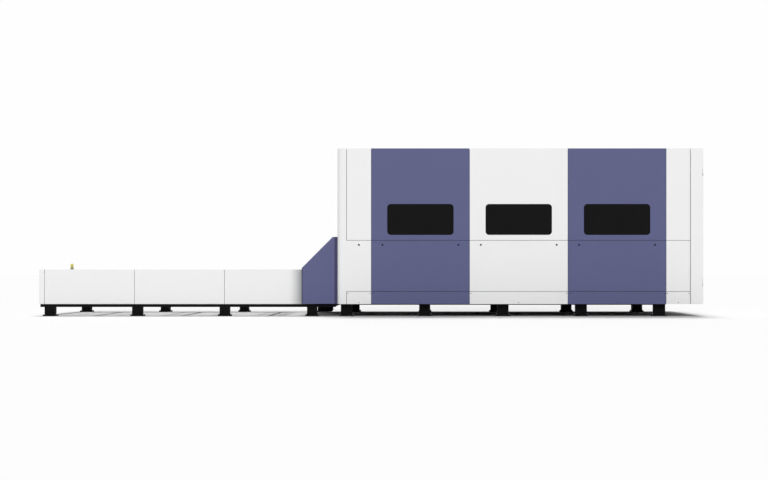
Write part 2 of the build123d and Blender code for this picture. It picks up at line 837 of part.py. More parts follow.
def build_beam():
    """Cross beam: an extruded section with two cells, and two rails on its left face."""
    half = beam_wide / 2
    points = [(beam_bottom, -half), (beam_top, -half), (beam_top, half - beam_chamfer)]
    points += [(beam_top - beam_chamfer, half), (beam_bottom + beam_chamfer, half)]
    points += [(beam_bottom, half - beam_chamfer)]
    section = Polygon(*points, align=None)
    cell_high = beam_high - 2 * beam_chamfer
    cell_wide = (beam_wide - 3 * beam_wall) / 2
    for middle in (-(cell_wide + beam_wall) / 2, (cell_wide + beam_wall) / 2):
        section -= Pos((beam_bottom + beam_top) / 2, middle) * Rectangle(cell_high, cell_wide)
    beam = Pos(beam_x, -beam_half, 0) * extrude(Plane.ZX * section, 2 * beam_half)
    rail_x = (beam_x - half - rail_proud, beam_x - half)
    rail_half = cross_travel / 2 + carriage_half + 30
    for z in cross_rail_z():
        beam += block(rail_x, (-rail_half, rail_half), about(z, rail_wide))
    save("gantry_beam", beam)


def build_gantry_drives():
    """End drives: a plate on two shoes over the guide, and a motor beside the beam."""
    x = about(beam_x, unit_length)
    guide_top = bed_top + guide_high
    plate_z = (guide_top + 4, beam_bottom)
    unit = block(x, (-beam_half - 5, -beam_inner + 5), plate_z)
    inner_y = about(-guide_line, guide_wide + 2 * sliding)
    for low in (x[0] + 20, x[1] - 120):
        shoe_x = (low, low + 100)
        shoe = block(shoe_x, (inner_y[0] - 12, inner_y[1] + 8), (bed_top + 5, plate_z[0]))
        unit += shoe - block(shoe_x, inner_y, (bed_top, guide_top + sliding))
    motor_x, motor_y = beam_x + beam_wide / 2 + 45, -guide_line + 10
    unit += block(about(motor_x, 88), about(motor_y, 75), (beam_bottom, beam_bottom + 70))
    unit += sided_upright(motor_radius, 12, motor_x, motor_y, (beam_bottom + 70, beam_bottom + 260))
    unit += block(about(motor_x, 60), about(motor_y, 60), (beam_bottom + 260, beam_bottom + 300))
    save("gantry_drives", *both(unit))


def carriage_face():
    """The carriage plate's back face, clear of the beam's rails."""
    return beam_x - beam_wide / 2 - rail_proud - sliding


def build_carriage():
    """Cross carriage: plate, four jaws round the beam's rails, and the motor that lifts the head."""
    face = carriage_face()
    plate_x = (face - carriage_thick, face)
    z = (beam_bottom + 5, beam_top + 40)
    carriage = block(plate_x, (-carriage_half, carriage_half), z)
    for rail in cross_rail_z():
        for low in (-carriage_half + 20, carriage_half - 100):
            jaw_y = (low, low + 80)
            jaw = block((face, face + rail_proud - 4), jaw_y, about(rail, rail_wide + 28))
            carriage += jaw - block((face, face + rail_proud), jaw_y, about(rail, rail_wide + 2 * sliding))
    for y in (-90, 90):
        carriage += block((plate_x[0] - 14, plate_x[0]), about(y, 20), z)
    carriage += block((plate_x[0], face + 70), (-45, 45), (z[1], z[1] + 20))
    carriage += sided_upright(motor_radius, 12, face + 30, 0, (z[1] + 20, z[1] + 190))
    save("cross_carriage", carriage)


def build_head():
    """Cutting head with its nozzle, on a slide that runs on the carriage's upright rails."""
    slide_face = carriage_face() - carriage_thick - 14 - sliding
    slide_x = (slide_face - 16, slide_face)
    head = block(slide_x, (-110, 110), (beam_bottom + 10, beam_top + 150))
    for y in (-90, 90):
        for low in (beam_bottom + 30, beam_top - 60):
            jaw = block((slide_face, slide_face + 12), about(y, 48), (low, low + 70))
            head += jaw - block((slide_face, slide_face + 12), about(y, 20 + 2 * sliding), (low, low + 70))
    axis, low, barrel_top = beam_x - head_offset, nozzle_height, nozzle_height + 300
    head += sided_upright(head_radius, 16, axis, 0, (low + 100, barrel_top))
    cone = extrude(RegularPolygon(head_radius - 6, 16), 76, taper=head_taper)
    head += Pos(axis, 0, low + 100) * Rot(180, 0, 0) * cone
    head += sided_upright(nozzle_radius, 12, axis, 0, (low, low + 30))
    housing = block((axis - 55, slide_x[0]), (-60, 60), (barrel_top, beam_top + 120))
    housing = chamfer(housing.edges().filter_by(Axis.Z).group_by(Axis.X)[0], 20)
    save("cutting_head", head + housing)


# Exchange table

def build_table_frame():
    """Base rails, posts at the feet, top rails, and cross members between the two sides."""
    right = cabin_left - 60
    low = (rail_bottom, rail_bottom + rail_high)
    high = (table_top - sheet - cross_tube, table_top - sheet)
    y = (-foot_front, -beam_inner)
    pieces = both(tube("x", (table_left + 10, right + 30), y, low, tube_wall))
    for x in table_feet_places:
        pieces += both(block(about(x, cross_tube), y, (low[1], high[0])))
    top_y = (-foot_front, -foot_front + cross_tube)
    pieces += both(block((table_left + 40, right), top_y, high))
    middles = [(a + b) / 2 for a, b in zip(table_feet_places, table_feet_places[1:])]
    tie_z = (low[0] + 8, low[0] + 8 + cross_tube)
    for x in [table_left + 50] + middles + [right]:
        pieces.append(block(about(x, cross_tube), (-beam_inner, beam_inner), tie_z))
    save("table_frame", *pieces)


def build_table_cladding():
    """Side panels, and the folded cover that wraps the free end."""
    z = (table_bottom, table_top)
    edges = spaced(table_left + end_cover_return, cabin_left - table_panel_end, table_panel_count + 1)
    panels = []
    for low, high in zip(edges, edges[1:]):
        panels += both(folded_panel(between(low, high), z, face=table_face, depth=table_fold))
    save("table_panels", *panels)

    x, y = (table_left, edges[0] - seam / 2), (-table_face, table_face)
    inner_y = (y[0] + sheet, y[1] - sheet)
    cover = block(x, y, z) - block((x[0] + sheet, x[1]), inner_y, (z[0], z[1] - sheet))
    inner_y = (y[0] + table_fold, y[1] - table_fold)
    save("table_end_cover", cover - block((x[0] + table_fold, x[1]), inner_y, z))


def build_lamp():
    """Signal lamp on the table's top edge."""
    x, y = table_left + lamp_place, -table_face + lamp_base / 2 + 3
    lens_low = table_top + lamp_base_high
    base = block(about(x, lamp_base), about(y, lamp_base), (table_top, lens_low))
    save("beacon_base", chamfer(base.edges().filter_by(Axis.Z), 6))
    lens = sided_upright(lamp_radius, 24, x, y, (lens_low, lens_low + lamp_high))
    save("beacon_lens", chamfer(lens.edges().group_by(Axis.Z)[-1], lamp_radius / 2))


def track(x, top, slot=None):
    """An angle track, its level leg under the wheels; the slot lets the chain through."""
    level = block(x, (-beam_inner, -track_edge), (top - track_leg, top))
    drop = (top - track_leg - track_hang, top - track_leg)
    whole = level + block(x, (-beam_inner, -beam_inner + 10), drop)
    if slot:
        slot_y = about(-chain_line, chain_wide + 4)
        whole -= block(slot, slot_y, (top - track_leg, top))
    return whole


def build_tracks():
    table_x = (table_left + track_end, cabin_left - track_joint / 2)
    cabin_x = (cabin_left + track_joint / 2, cabin_left + track_length)
    dip = about(drive_x, 2 * pitch_radius + 60)
    turn = about(cabin_left + chain_right, 2 * chain_half + 30)
    pieces = [track(table_x, track_upper), track(table_x, track_lower, dip)]
    pieces += [track(cabin_x, track_upper, turn), track(cabin_x, track_lower)]
    save("pallet_tracks", *pieces, *[opposite(p) for p in pieces])


# Exchange drive

def chain_outline(grow):
    """A line along the chain, that far outside its middle line: two level runs joined by round
    turns, with a dip in the lower run that goes under the drive sprocket."""
    left, right = table_left + chain_left, cabin_left + chain_right
    low = chain_z - chain_half
    back, front = drive_x - pitch_radius - dip_turn, drive_x + pitch_radius + dip_turn
    points = arc_points(back, low - dip_turn, dip_turn - grow, 90, 0)
    points += arc_points(drive_x, drive_height, pitch_radius + grow, 180, 360)
    points += arc_points(front, low - dip_turn, dip_turn - grow, 180, 90)
    points += arc_points(right, chain_z, chain_half + grow, -90, 90)
    return points + arc_points(left, chain_z, chain_half + grow, 90, 270)


def build_chains():
    y = about(-chain_line, chain_wide)
    loop = side_profile(chain_outline(chain_thick / 2), y)
    loop -= side_profile(chain_outline(-chain_thick / 2), y)
    save("drive_chains", *both(loop))


def chain_shoe(x, outward, seat):
    """A shoe that the chain turns round; outward is 1 at the right end and -1 at the left."""
    radius = chain_half - chain_thick / 2 - sliding
    first, last = (-90, 90) if outward > 0 else (90, 270)
    turn = arc_points(x, chain_z, radius, first, last)
    heel = [(x - outward * shoe_heel, turn[-1][1]), (x - outward * shoe_heel, turn[0][1])]
    return side_profile(turn + heel, (seat, -chain_line + chain_wide / 2 - 1))


def build_chain_guides():
    """Shoes in the chain's ends, and the bearing plates of the drive shaft, open above."""
    seat = -beam_inner + 10
    left, right = table_left + chain_left, cabin_left + chain_right
    spacer = block(about(left, 80), (-beam_inner, seat), about(chain_z, 80))
    pieces = both(chain_shoe(left, -1, seat) + spacer) + both(chain_shoe(right, 1, seat))
    plate_z = (rail_bottom + 23, drive_height + 24)
    bearing = block(about(drive_x, 84), (-beam_inner, seat), plate_z)
    reach = drive_radius + running
    bearing -= block(about(drive_x, 2 * reach), (-beam_inner, seat), (drive_height - reach, plate_z[1]))
    save("chain_guides", *pieces, *both(bearing))


def sprocket(line):
    """A toothed wheel in one of the chains."""
    points = []
    for i in range(2 * sprocket_teeth):
        radius = sprocket_radius if i % 2 == 0 else sprocket_radius - sprocket_tooth
        turn = radians(180 * i / sprocket_teeth)
        points.append((drive_x + radius * cos(turn), drive_height + radius * sin(turn)))
    return side_profile(points, about(line, chain_wide - 2))


def build_drive():
    """Two half shafts with a sprocket each, and the gear motor between them."""
    x = (drive_x - gearbox_back, drive_x - gearbox_back + gearbox_length)
    y = about(gearbox_place, gearbox_deep)
    near_half = sided_cross(drive_radius, 16, drive_x, (-beam_inner + 2, y[0]), drive_height)
    far_half = sided_cross(drive_radius, 16, drive_x, (y[1], beam_inner - 2), drive_height)
    save("drive_shaft", near_half + sprocket(-chain_line), far_half + sprocket(chain_line))

    gearbox = block(x, y, (gearbox_low, gearbox_high))
    gearbox = chamfer(gearbox.edges().filter_by(Axis.Y), 26)
    motor_y = (y[1], y[1] + motor_length)
    gearbox += sided_cross(gear_motor_radius, 24, drive_x - 20, motor_y, gearbox_low + 83)
    arm_z = (rail_bottom + 18, rail_bottom + 58)
    gearbox += block((x[1] - 4, cabin_left - 60 - cross_tube / 2), about(gearbox_place, 50), arm_z)
    save("drive_motor", gearbox)


# Pallets

def slat(low):
    """A slat across the pallet, with pointed teeth along its top."""
    half = pallet_half - pallet_tube - 2
    top = low + slat_height
    pitch = 2 * half / tooth_count
    points = [(-half, low), (half, low), (half, top - tooth_depth)]
    for i in range(tooth_count):
        right = half - pitch * i
        points += [(right - pitch / 2, top), (right - pitch, top - tooth_depth)]
    return extrude(Plane.YZ * Polygon(*points, align=None), slat_thick)


def pallet_side(start, low, track_top):
    """A long side tube with the ledge under the slats and the dog that the chain pulls."""
    inner = pallet_half - pallet_tube
    high = low + pallet_tube_high
    ends = (start, start + pallet_length)
    side = tube("x", ends, (-pallet_half, -inner), (low, high), tube_wall)
    ledge_z = (low + ledge_rise, low + ledge_rise + ledge_thick)
    side += block((ends[0] + pallet_tube, ends[1] - pallet_tube), (-inner, -inner + ledge_wide), ledge_z)
    run = track_top + chain_above
    dog_x = (start + 20, start + 80)
    side += block(dog_x, (-pallet_half - 8, -pallet_half), (run - 6, low + pallet_tube_high / 2))
    side += block(dog_x, (-chain_line + chain_wide / 2 + sliding, -pallet_half), about(run, 12))
    axle_top = track_top + sliding + wheel_radius + axle_radius + sliding
    fork_y = (-pallet_half, -inner + ledge_wide)
    for x in (ends[0] + axle_inset, ends[1] - axle_inset):
        side -= block(about(x, 2 * (axle_radius + sliding)), fork_y, (low, axle_top))
    return side


def build_pallet(name, start, track_top):
    """Frame, slats and two wheel axles of one pallet, with its left end at start."""
    low = track_top + wheel_below
    end = start + pallet_length
    inner = pallet_half - pallet_tube
    frame = both(pallet_side(start, low, track_top))
    for x in (start, end - pallet_tube):
        frame.append(block((x, x + pallet_tube), (-inner, inner), (low, low + pallet_tube_high)))
    seat = low + ledge_rise + ledge_thick
    rib_y = (-inner + ledge_wide, inner - ledge_wide)
    for part in (0.3, 0.5, 0.7):
        frame.append(block(about(start + pallet_length * part, 40), rib_y, (low - 10, seat)))
    save(f"{name}_pallet_frame", *frame)

    first = start + slat_inset - slat_thick / 2
    places = [first + slat_pitch * i for i in range(slat_count)]
    save(f"{name}_pallet_slats", *[Pos(x, 0, 0) * slat(seat) for x in places])

    axle_z = track_top + sliding + wheel_radius
    for label, x in (("left", start + axle_inset), ("right", end - axle_inset)):
        wheels = sided_cross(axle_radius, 12, x, (-wheel_inner, wheel_inner), axle_z)
        for y in ((-wheel_outer, -wheel_inner), (wheel_inner, wheel_outer)):
            wheels += cross_bar(wheel_radius, x, y, axle_z)
        save(f"{name}_wheels_{label}", wheels)


def build_pallets():
    outside = table_left + pallet_start
    build_pallet("upper", outside, track_upper)
    build_pallet("lower", outside + pallet_travel, track_lower)


os.makedirs("parts", exist_ok=True)
build_cladding()
build_locks()
build_frame()
build_roof()
build_operator_side()
build_door_leaves()
build_left_wall()
build_hood()
build_bulkhead()
build_end_doors()
build_cabinet_contents()
build_bed()
build_feet()
build_guides()
build_beam()
build_gantry_drives()
build_carriage()
build_head()
build_table_frame()
build_table_cladding()
build_lamp()
build_tracks()
build_chains()
build_chain_guides()
build_drive()
build_pallets()
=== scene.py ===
import json
import logging
from collections.abc import Callable
from dataclasses import dataclass, field
from enum import Enum
from math import ceil, cos, hypot, pi, radians, sin

import bpy
from mathutils import Matrix, Vector

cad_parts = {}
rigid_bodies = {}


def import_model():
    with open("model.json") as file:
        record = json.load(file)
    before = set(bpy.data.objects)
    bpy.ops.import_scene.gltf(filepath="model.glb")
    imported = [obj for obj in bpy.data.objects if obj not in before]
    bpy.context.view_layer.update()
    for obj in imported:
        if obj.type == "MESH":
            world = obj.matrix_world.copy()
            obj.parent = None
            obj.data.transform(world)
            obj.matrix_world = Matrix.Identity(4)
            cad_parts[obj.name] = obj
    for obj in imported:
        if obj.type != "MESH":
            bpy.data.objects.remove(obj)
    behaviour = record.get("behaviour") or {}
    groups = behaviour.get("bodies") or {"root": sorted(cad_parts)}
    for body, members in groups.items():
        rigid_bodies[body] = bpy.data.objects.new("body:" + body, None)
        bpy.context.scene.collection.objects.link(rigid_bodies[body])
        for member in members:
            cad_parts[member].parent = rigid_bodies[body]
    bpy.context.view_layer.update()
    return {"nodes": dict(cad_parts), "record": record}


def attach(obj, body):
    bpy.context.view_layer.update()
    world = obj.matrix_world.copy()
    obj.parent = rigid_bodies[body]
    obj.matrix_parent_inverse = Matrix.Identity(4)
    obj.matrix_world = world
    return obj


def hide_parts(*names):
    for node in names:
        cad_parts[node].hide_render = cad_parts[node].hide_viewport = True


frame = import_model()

# Looks of a fiber laser cutting machine with an exchange table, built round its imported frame.
# Everything is in metres, in the frame's own axes: the table is at -X, the service side with
# the fixed windows at -Y, the operator's doors at +Y.

log = logging.getLogger("machine")

Piece = bpy.types.Object
Node = bpy.types.Node
Socket = bpy.types.NodeSocket
Span = tuple[float, float]
Point = tuple[float, float, float]

CABIN_LEFT = -0.4405
TABLE_LEFT = -4.4615
PANEL_FACE = 1.125          # of the cabin's panels, from the middle plane
SHAFT_X = CABIN_LEFT - 0.246
SHAFT_Z = 0.205
UPPER_LEVEL = 0.47          # running face of the upper pallet's tracks
LOWER_LEVEL = 0.29
SHARP = radians(30)         # edges flatter than this aren't rounded
TINY = 1e-9
MACHINE = "machine"

NODE_SLOT = {row["node"]: row["material_slot"] for row in frame["record"]["subparts"]}
BODIES = frame["record"]["behaviour"]["bodies"]
NODE_BODY = {node: body for body, nodes in BODIES.items() for node in nodes}


def along(distance: float) -> float:
    """X of a place that is measured from the cabin's left end."""
    return CABIN_LEFT + distance


def about(middle: float, half: float) -> Span:
    """The limits of what lies evenly about a middle."""
    return middle - half, middle + half


def beside(place: float, span: Span) -> Span:
    """The limits of what lies at a distance from a place."""
    return place + span[0], place + span[1]


# Bench tools

class Run(Enum):
    """The direction in which a round bar runs."""

    X = (0.0, pi / 2, 0.0)
    Y = (pi / 2, 0.0, 0.0)
    Z = (0.0, 0.0, 0.0)


class Kind(Enum):
    """What is selected in edit mode."""

    VERT = "vertices"
    EDGE = "edges"
    FACE = "polygons"


class Bench:
    """Blender's own tools, each used the same way for every piece."""

    @staticmethod
    def pick(*pieces: Piece) -> None:
        """Selects these pieces alone and makes the first one active.

        Args:
            pieces: what is selected.
        """
        bpy.ops.object.select_all(action="DESELECT")
        for piece in pieces:
            piece.select_set(True)
        bpy.context.view_layer.objects.active = pieces[0]

    @staticmethod
    def choose(piece: Piece, kind: Kind, wanted: Callable[[object], bool]) -> None:
        """Enters edit mode with only some parts of the mesh selected.

        Args:
            piece: the piece.
            kind: vertices, edges or faces.
            wanted: says of each whether it is selected.
        """
        Bench.pick(piece)
        bpy.ops.object.mode_set(mode="EDIT")
        bpy.ops.mesh.select_mode(type=kind.name)
        bpy.ops.mesh.select_all(action="DESELECT")
        bpy.ops.object.mode_set(mode="OBJECT")
        for part in getattr(piece.data, kind.value):
            part.select = wanted(part)
        bpy.ops.object.mode_set(mode="EDIT")

    @staticmethod
    def block(name: str, x: Span, y: Span, z: Span, edge: float = 0.0, rounds: int = 2) -> Piece:
        """Adds a block between three pairs of limits.

        Args:
            name: the piece's name.
            x: its lowest and highest X.
            y: its lowest and highest Y.
            z: its lowest and highest Z.
            edge: the width of its rounded edges; they stay sharp at 0.
            rounds: how many steps the rounding has.

        Returns:
            The block, at the origin with its place in its mesh.
        """
        bpy.ops.object.select_all(action="DESELECT")
        middle = [(low + high) / 2 for low, high in (x, y, z)]
        size = [high - low for low, high in (x, y, z)]
        bpy.ops.mesh.primitive_cube_add(size=1, location=middle, scale=size)
        return Bench.settle(name, edge, rounds)

    @staticmethod
    def bar(name: str, radius: float, middle: Point, length: float, run: Run, sides: int = 32,
            edge: float = 0.0, rounds: int = 2, end_radius: float | None = None) -> Piece:
        """Adds a round bar or a cone.

        Args:
            name: the piece's name.
            radius: its radius, or that of its lower end.
            middle: the middle of its axis.
            length: its length along the axis.
            run: the axis's direction.
            sides: how many faces go round it.
            edge: the width of its rounded edges; they stay sharp at 0.
            rounds: how many steps the rounding has.
            end_radius: the other end's radius, where it differs.

        Returns:
            The bar, at the origin with its place in its mesh.
        """
        bpy.ops.object.select_all(action="DESELECT")
        other = radius if end_radius is None else end_radius
        bpy.ops.mesh.primitive_cone_add(vertices=sides, radius1=radius, radius2=other, depth=length,
                                        location=middle, rotation=run.value)
        return Bench.settle(name, edge, rounds)

    @staticmethod
    def settle(name: str, edge: float = 0.0, rounds: int = 2) -> Piece:
        """Names the active object, moves its place into its mesh and rounds its edges.

        Args:
            name: the name.
            edge: the width of the rounded edges; they stay sharp at 0.
            rounds: how many steps the rounding has.

        Returns:
            The object.
        """
        piece = bpy.context.active_object
        piece.name = piece.data.name = name
        bpy.ops.object.transform_apply(location=True, rotation=True, scale=True)
        return Bench.soften(piece, edge, rounds) if edge else piece

    @staticmethod
    def modify(piece: Piece, kind: str, **settings: object) -> None:
        """Adds a modifier to the active piece and applies it.

        Args:
            piece: the active piece.
            kind: the modifier's type.
            settings: its properties.
        """
        modifier = piece.modifiers.new(kind.title(), kind)
        for key, value in settings.items():
            setattr(modifier, key, value)
        bpy.ops.object.modifier_apply(modifier=modifier.name)

    @staticmethod
    def soften(piece: Piece, width: float, rounds: int = 2) -> Piece:
        """Rounds a piece's edges and shades it smooth between its flat faces.

        Args:
            piece: the piece.
            width: the bevel's width.
            rounds: how many steps the bevel has.

        Returns:
            The same piece.
        """
        Bench.pick(piece)
        Bench.modify(piece, "BEVEL", width=width, segments=rounds, limit_method="ANGLE",
                     angle_limit=SHARP, miter_outer="MITER_ARC")
        bpy.ops.object.shade_smooth_by_angle(angle=SHARP)
        Bench.modify(piece, "WEIGHTED_NORMAL", keep_sharp=True, weight=100)
        return piece

    @staticmethod
    def hollow(piece: Piece, towards: Vector, rim: float, depth: float) -> None:
        """Insets the flat face that looks one way and pushes it into the piece.

        Args:
            piece: the piece.
            towards: the face's normal.
            rim: the width of the rim that stays.
            depth: how far the floor goes in.
        """
        Bench.choose(piece, Kind.FACE, lambda face: face.normal.dot(towards) > 0.99)
        bpy.ops.mesh.inset(thickness=rim, depth=0)
        bpy.ops.mesh.extrude_region_move(TRANSFORM_OT_translate={"value": tuple(-depth * towards)})
        bpy.ops.object.mode_set(mode="OBJECT")

    @staticmethod
    def shift(piece: Piece, wanted: Callable[[object], bool], by: Point) -> None:
        """Moves those points of a mesh that are wanted.

        Args:
            piece: the piece.
            wanted: says of each point whether it moves.
            by: how far it moves.
        """
        Bench.choose(piece, Kind.VERT, wanted)
        bpy.ops.transform.translate(value=by)
        bpy.ops.object.mode_set(mode="OBJECT")

    @staticmethod
    def cut(piece: Piece, cutter: Piece) -> None:
        """Takes one shape out of another.

        Args:
            piece: the piece that is cut.
            cutter: the shape that it loses; it is removed.
        """
        Bench.pick(piece)
        Bench.modify(piece, "BOOLEAN", operation="DIFFERENCE", solver="EXACT", object=cutter)
        bpy.data.objects.remove(cutter)

    @staticmethod
    def repeat(piece: Piece, places: list[Matrix]) -> list[Piece]:
        """Copies a piece to each place; the piece itself is removed.

        Args:
            piece: the piece at its first place.
            places: a matrix for each copy.

        Returns:
            The copies, each with its own mesh.
        """
        copies = []
        for place in places:
            copy = piece.copy()
            copy.data = piece.data.copy()
            copy.data.transform(place)
            bpy.context.scene.collection.objects.link(copy)
            copies.append(copy)
        bpy.data.objects.remove(piece)
        return copies

    @staticmethod
    def join(name: str, pieces: list[Piece]) -> Piece:
        """Makes one object of several.

        Args:
            name: its name.
            pieces: what it is made of.

        Returns:
            The whole.
        """
        Bench.pick(*pieces)
        if len(pieces) > 1:
            bpy.ops.object.join()
        whole = bpy.context.active_object
        whole.name = whole.data.name = name
        return whole

    @staticmethod
    def shifts(places: list[Point]) -> list[Matrix]:
        """A plain shift for each place."""
        return [Matrix.Translation(place) for place in places]


# Node groups that several finishes share

class Graph:
    """A node tree with short calls to add and join nodes."""

    def __init__(self, tree: bpy.types.NodeTree) -> None:
        """Keeps the tree and empties it."""
        self.tree = tree
        tree.nodes.clear()

    def feed(self, target: Socket, value: object) -> None:
        """Joins an output to an input, or sets the input to a value.

        Args:
            target: the input.
            value: an output or a plain value.
        """
        if isinstance(value, bpy.types.NodeSocket):
            self.tree.links.new(value, target)
        else:
            target.default_value = value

    def add(self, kind: str, *feeds: object, **settings: object) -> Node:
        """Adds a node.

        Args:
            kind: the node's type.
            feeds: what its first inputs get, each an output or a value.
            settings: its properties, or what its inputs get by name.

        Returns:
            The new node.
        """
        node = self.tree.nodes.new(kind)
        for key, value in settings.items():
            if hasattr(node, key):
                setattr(node, key, value)
            else:
                self.feed(node.inputs[key.replace("_", " ")], value)
        for target, value in zip(node.inputs, feeds):
            self.feed(target, value)
        return node

    def place(self, axis: str) -> Socket:
        """The object's own coordinate along one axis."""
        parts = self.add("ShaderNodeSeparateXYZ", self.add("ShaderNodeTexCoord").outputs["Object"])
        return parts.outputs[axis]

    def mix(self, share: Socket, base: Socket, other: Point) -> Socket:
        """A colour that gives way to another one.

        Args:
            share: how far it gives way.
            base: the colour.
            other: what it gives way to.

        Returns:
            The mixed colour.
        """
        node = self.add("ShaderNodeMix", data_type="RGBA", Factor=share)
        self.feed(node.inputs[6], base)
        self.feed(node.inputs[7], (*other, 1))
        return node.outputs[2]


class Effect(Enum):
    """The shared surface effects, by their groups' names."""

    TONE = "drifting_tone"
    PEEL = "coat_ripple"
    GRAIN = "rolled_grain"
    RUB = "wiped_patches"
    DUST = "floor_dust"


class SurfaceGroups:
    """The shader groups that vary a surface: tone, peel, grain, rub and dust."""

    @staticmethod
    def begin(effect: Effect, output: str, **inputs: float | tuple) -> tuple[Graph, Node, Node]:
        """Starts a group.

        Args:
            effect: the effect that it makes.
            output: its output's name, a colour if that is Colour.
            inputs: each input's first value, a colour if that is no number.

        Returns:
            The group's graph, its input node and its output node.
        """
        tree = bpy.data.node_groups.new(effect.value, "ShaderNodeTree")
        for label, value in inputs.items():
            kind = "NodeSocketFloat" if isinstance(value, float) else "NodeSocketColor"
            socket = tree.interface.new_socket(name=label, in_out="INPUT", socket_type=kind)
            socket.default_value = value
        kind = "NodeSocketColor" if output == "Colour" else "NodeSocketFloat"
        tree.interface.new_socket(name=output, in_out="OUTPUT", socket_type=kind)
        graph = Graph(tree)
        return graph, graph.add("NodeGroupInput"), graph.add("NodeGroupOutput")

    @staticmethod
    def noise(graph: Graph, scale: Socket | float, detail: float,
              stretch: Point = (1, 1, 1)) -> Socket:
        """Noise over the object's own coordinates.

        Args:
            graph: the tree it is added to.
            scale: how fine it is, as a number or a socket.
            detail: its octaves.
            stretch: how much faster it varies along each axis.

        Returns:
            The noise's value.
        """
        place = graph.add("ShaderNodeTexCoord").outputs["Object"]
        mapping = graph.add("ShaderNodeMapping", place, Scale=stretch)
        texture = graph.add("ShaderNodeTexNoise", mapping.outputs["Vector"], Scale=scale, Detail=detail)
        return texture.outputs["Fac"]

    @classmethod
    def tone(cls) -> None:
        """A base colour that drifts a little lighter and darker."""
        graph, given, result = cls.begin(Effect.TONE, "Colour", Base=(0.8, 0.8, 0.8, 1), Depth=0.05,
                                         Scale=3.0)
        drift = cls.noise(graph, given.outputs["Scale"], 3.0)
        centred = graph.add("ShaderNodeMath", drift, 0.5, operation="SUBTRACT").outputs[0]
        scaled = graph.add("ShaderNodeMath", centred, given.outputs["Depth"], 1.0, operation="MULTIPLY_ADD")
        tinted = graph.add("ShaderNodeVectorMath", given.outputs["Base"], operation="SCALE",
                           Scale=scaled.outputs[0])
        graph.feed(result.inputs["Colour"], tinted.outputs[0])

    @classmethod
    def peel(cls) -> None:
        """The fine ripple of a baked powder coat."""
        graph, given, result = cls.begin(Effect.PEEL, "Height", Scale=260.0)
        graph.feed(result.inputs["Height"], cls.noise(graph, given.outputs["Scale"], 2.0))

    @classmethod
    def grain(cls) -> None:
        """Fine lines along X, as rolling and grinding leave them."""
        graph, given, result = cls.begin(Effect.GRAIN, "Grain", Scale=90.0)
        graph.feed(result.inputs["Grain"], cls.noise(graph, given.outputs["Scale"], 4.0, (0.06, 1.4, 1.4)))

    @classmethod
    def rub(cls) -> None:
        """Roughness that varies where a surface was wiped and handled."""
        graph, given, result = cls.begin(Effect.RUB, "Roughness", Low=0.3, High=0.5, Scale=7.0)
        spread = graph.add("ShaderNodeMapRange", cls.noise(graph, given.outputs["Scale"], 5.0),
                           From_Min=0.3, From_Max=0.7, To_Min=given.outputs["Low"],
                           To_Max=given.outputs["High"])
        graph.feed(result.inputs["Roughness"], spread.outputs["Result"])

    @classmethod
    def dust(cls) -> None:
        """A mask of fine dust that gathers low, near the floor."""
        graph, given, result = cls.begin(Effect.DUST, "Mask", Reach=0.3, Weight=0.2)
        fall = graph.add("ShaderNodeMapRange", graph.place("Z"), From_Max=given.outputs["Reach"],
                         To_Min=1.0, To_Max=0.0)
        patch = graph.add("ShaderNodeMath", fall.outputs["Result"], cls.noise(graph, 24.0, 5.0),
                          operation="MULTIPLY")
        weighed = graph.add("ShaderNodeMath", patch.outputs[0], given.outputs["Weight"], operation="MULTIPLY")
        graph.feed(result.inputs["Mask"], weighed.outputs[0])


# Finishes

@dataclass(frozen=True)
class Finish:
    """One finish: what its shader has in common with the others.

    The colour drifts by drift, the roughness lies between rough and rougher, dust is the weight
    of the dust near the floor and peel the depth of the ripple. Slot names a slot of the record,
    but nothing in the script reads it.
    """

    name: str
    colour: Point
    rough: float
    rougher: float
    drift: float = 0.04
    drift_scale: float = 2.5
    specular: float = 0.5
    metallic: float = 0.0
    dust: float = 0.0
    slot: str = ""
    peel: float = 0.03
    peel_scale: float = 260.0
    dust_reach: float = 0.3
    dust_colour: Point = (0.34, 0.33, 0.31)

    def group(self, graph: Graph, effect: Effect, **values: object) -> Socket:
        """Places a shared effect with these inputs in a material and gives its output."""
        shared = bpy.data.node_groups[effect.value]
        return graph.add("ShaderNodeGroup", node_tree=shared, **values).outputs[0]

    def bump(self, graph: Graph, height: Socket, strength: float) -> Socket:
        """The normal that a height gives, a millimetre deep at strength 1."""
        bump = graph.add("ShaderNodeBump", Strength=strength, Distance=0.001, Height=height)
        return bump.outputs["Normal"]

    def relief(self, graph: Graph) -> Socket:
        """The finish's own bump; the plain finish has a faint ripple."""
        return self.bump(graph, self.group(graph, Effect.PEEL, Scale=self.peel_scale), self.peel)

    def tone(self, graph: Graph) -> Socket:
        """The colour that varies over the surface.

        Args:
            graph: the material's graph.

        Returns:
            The colour.
        """
        tone = self.group(graph, Effect.TONE, Base=(*self.colour, 1), Depth=self.drift,
                          Scale=self.drift_scale)
        if not self.dust:
            return tone
        mask = self.group(graph, Effect.DUST, Reach=self.dust_reach, Weight=self.dust)
        return graph.mix(mask, tone, self.dust_colour)

    def constants(self) -> dict[str, object]:
        """What is the same all over the surface, by the shader's socket."""
        return {"Metallic": self.metallic, "Specular IOR Level": self.specular}

    def material(self) -> bpy.types.Material:
        """Builds the finish's material.

        Returns:
            The material, or the one that was built before.
        """
        label = f"{self.name}_finish"
        if label in bpy.data.materials:
            return bpy.data.materials[label]
        material = bpy.data.materials.new(label)
        material.use_nodes = True
        graph = Graph(material.node_tree)
        rub = self.group(graph, Effect.RUB, Low=self.rough, High=self.rougher)
        shader = graph.add("ShaderNodeBsdfPrincipled", Base_Color=self.tone(graph), Roughness=rub,
                           Normal=self.relief(graph))
        for socket, value in self.constants().items():
            shader.inputs[socket].default_value = value
        graph.add("ShaderNodeOutputMaterial", shader.outputs["BSDF"])
        return material


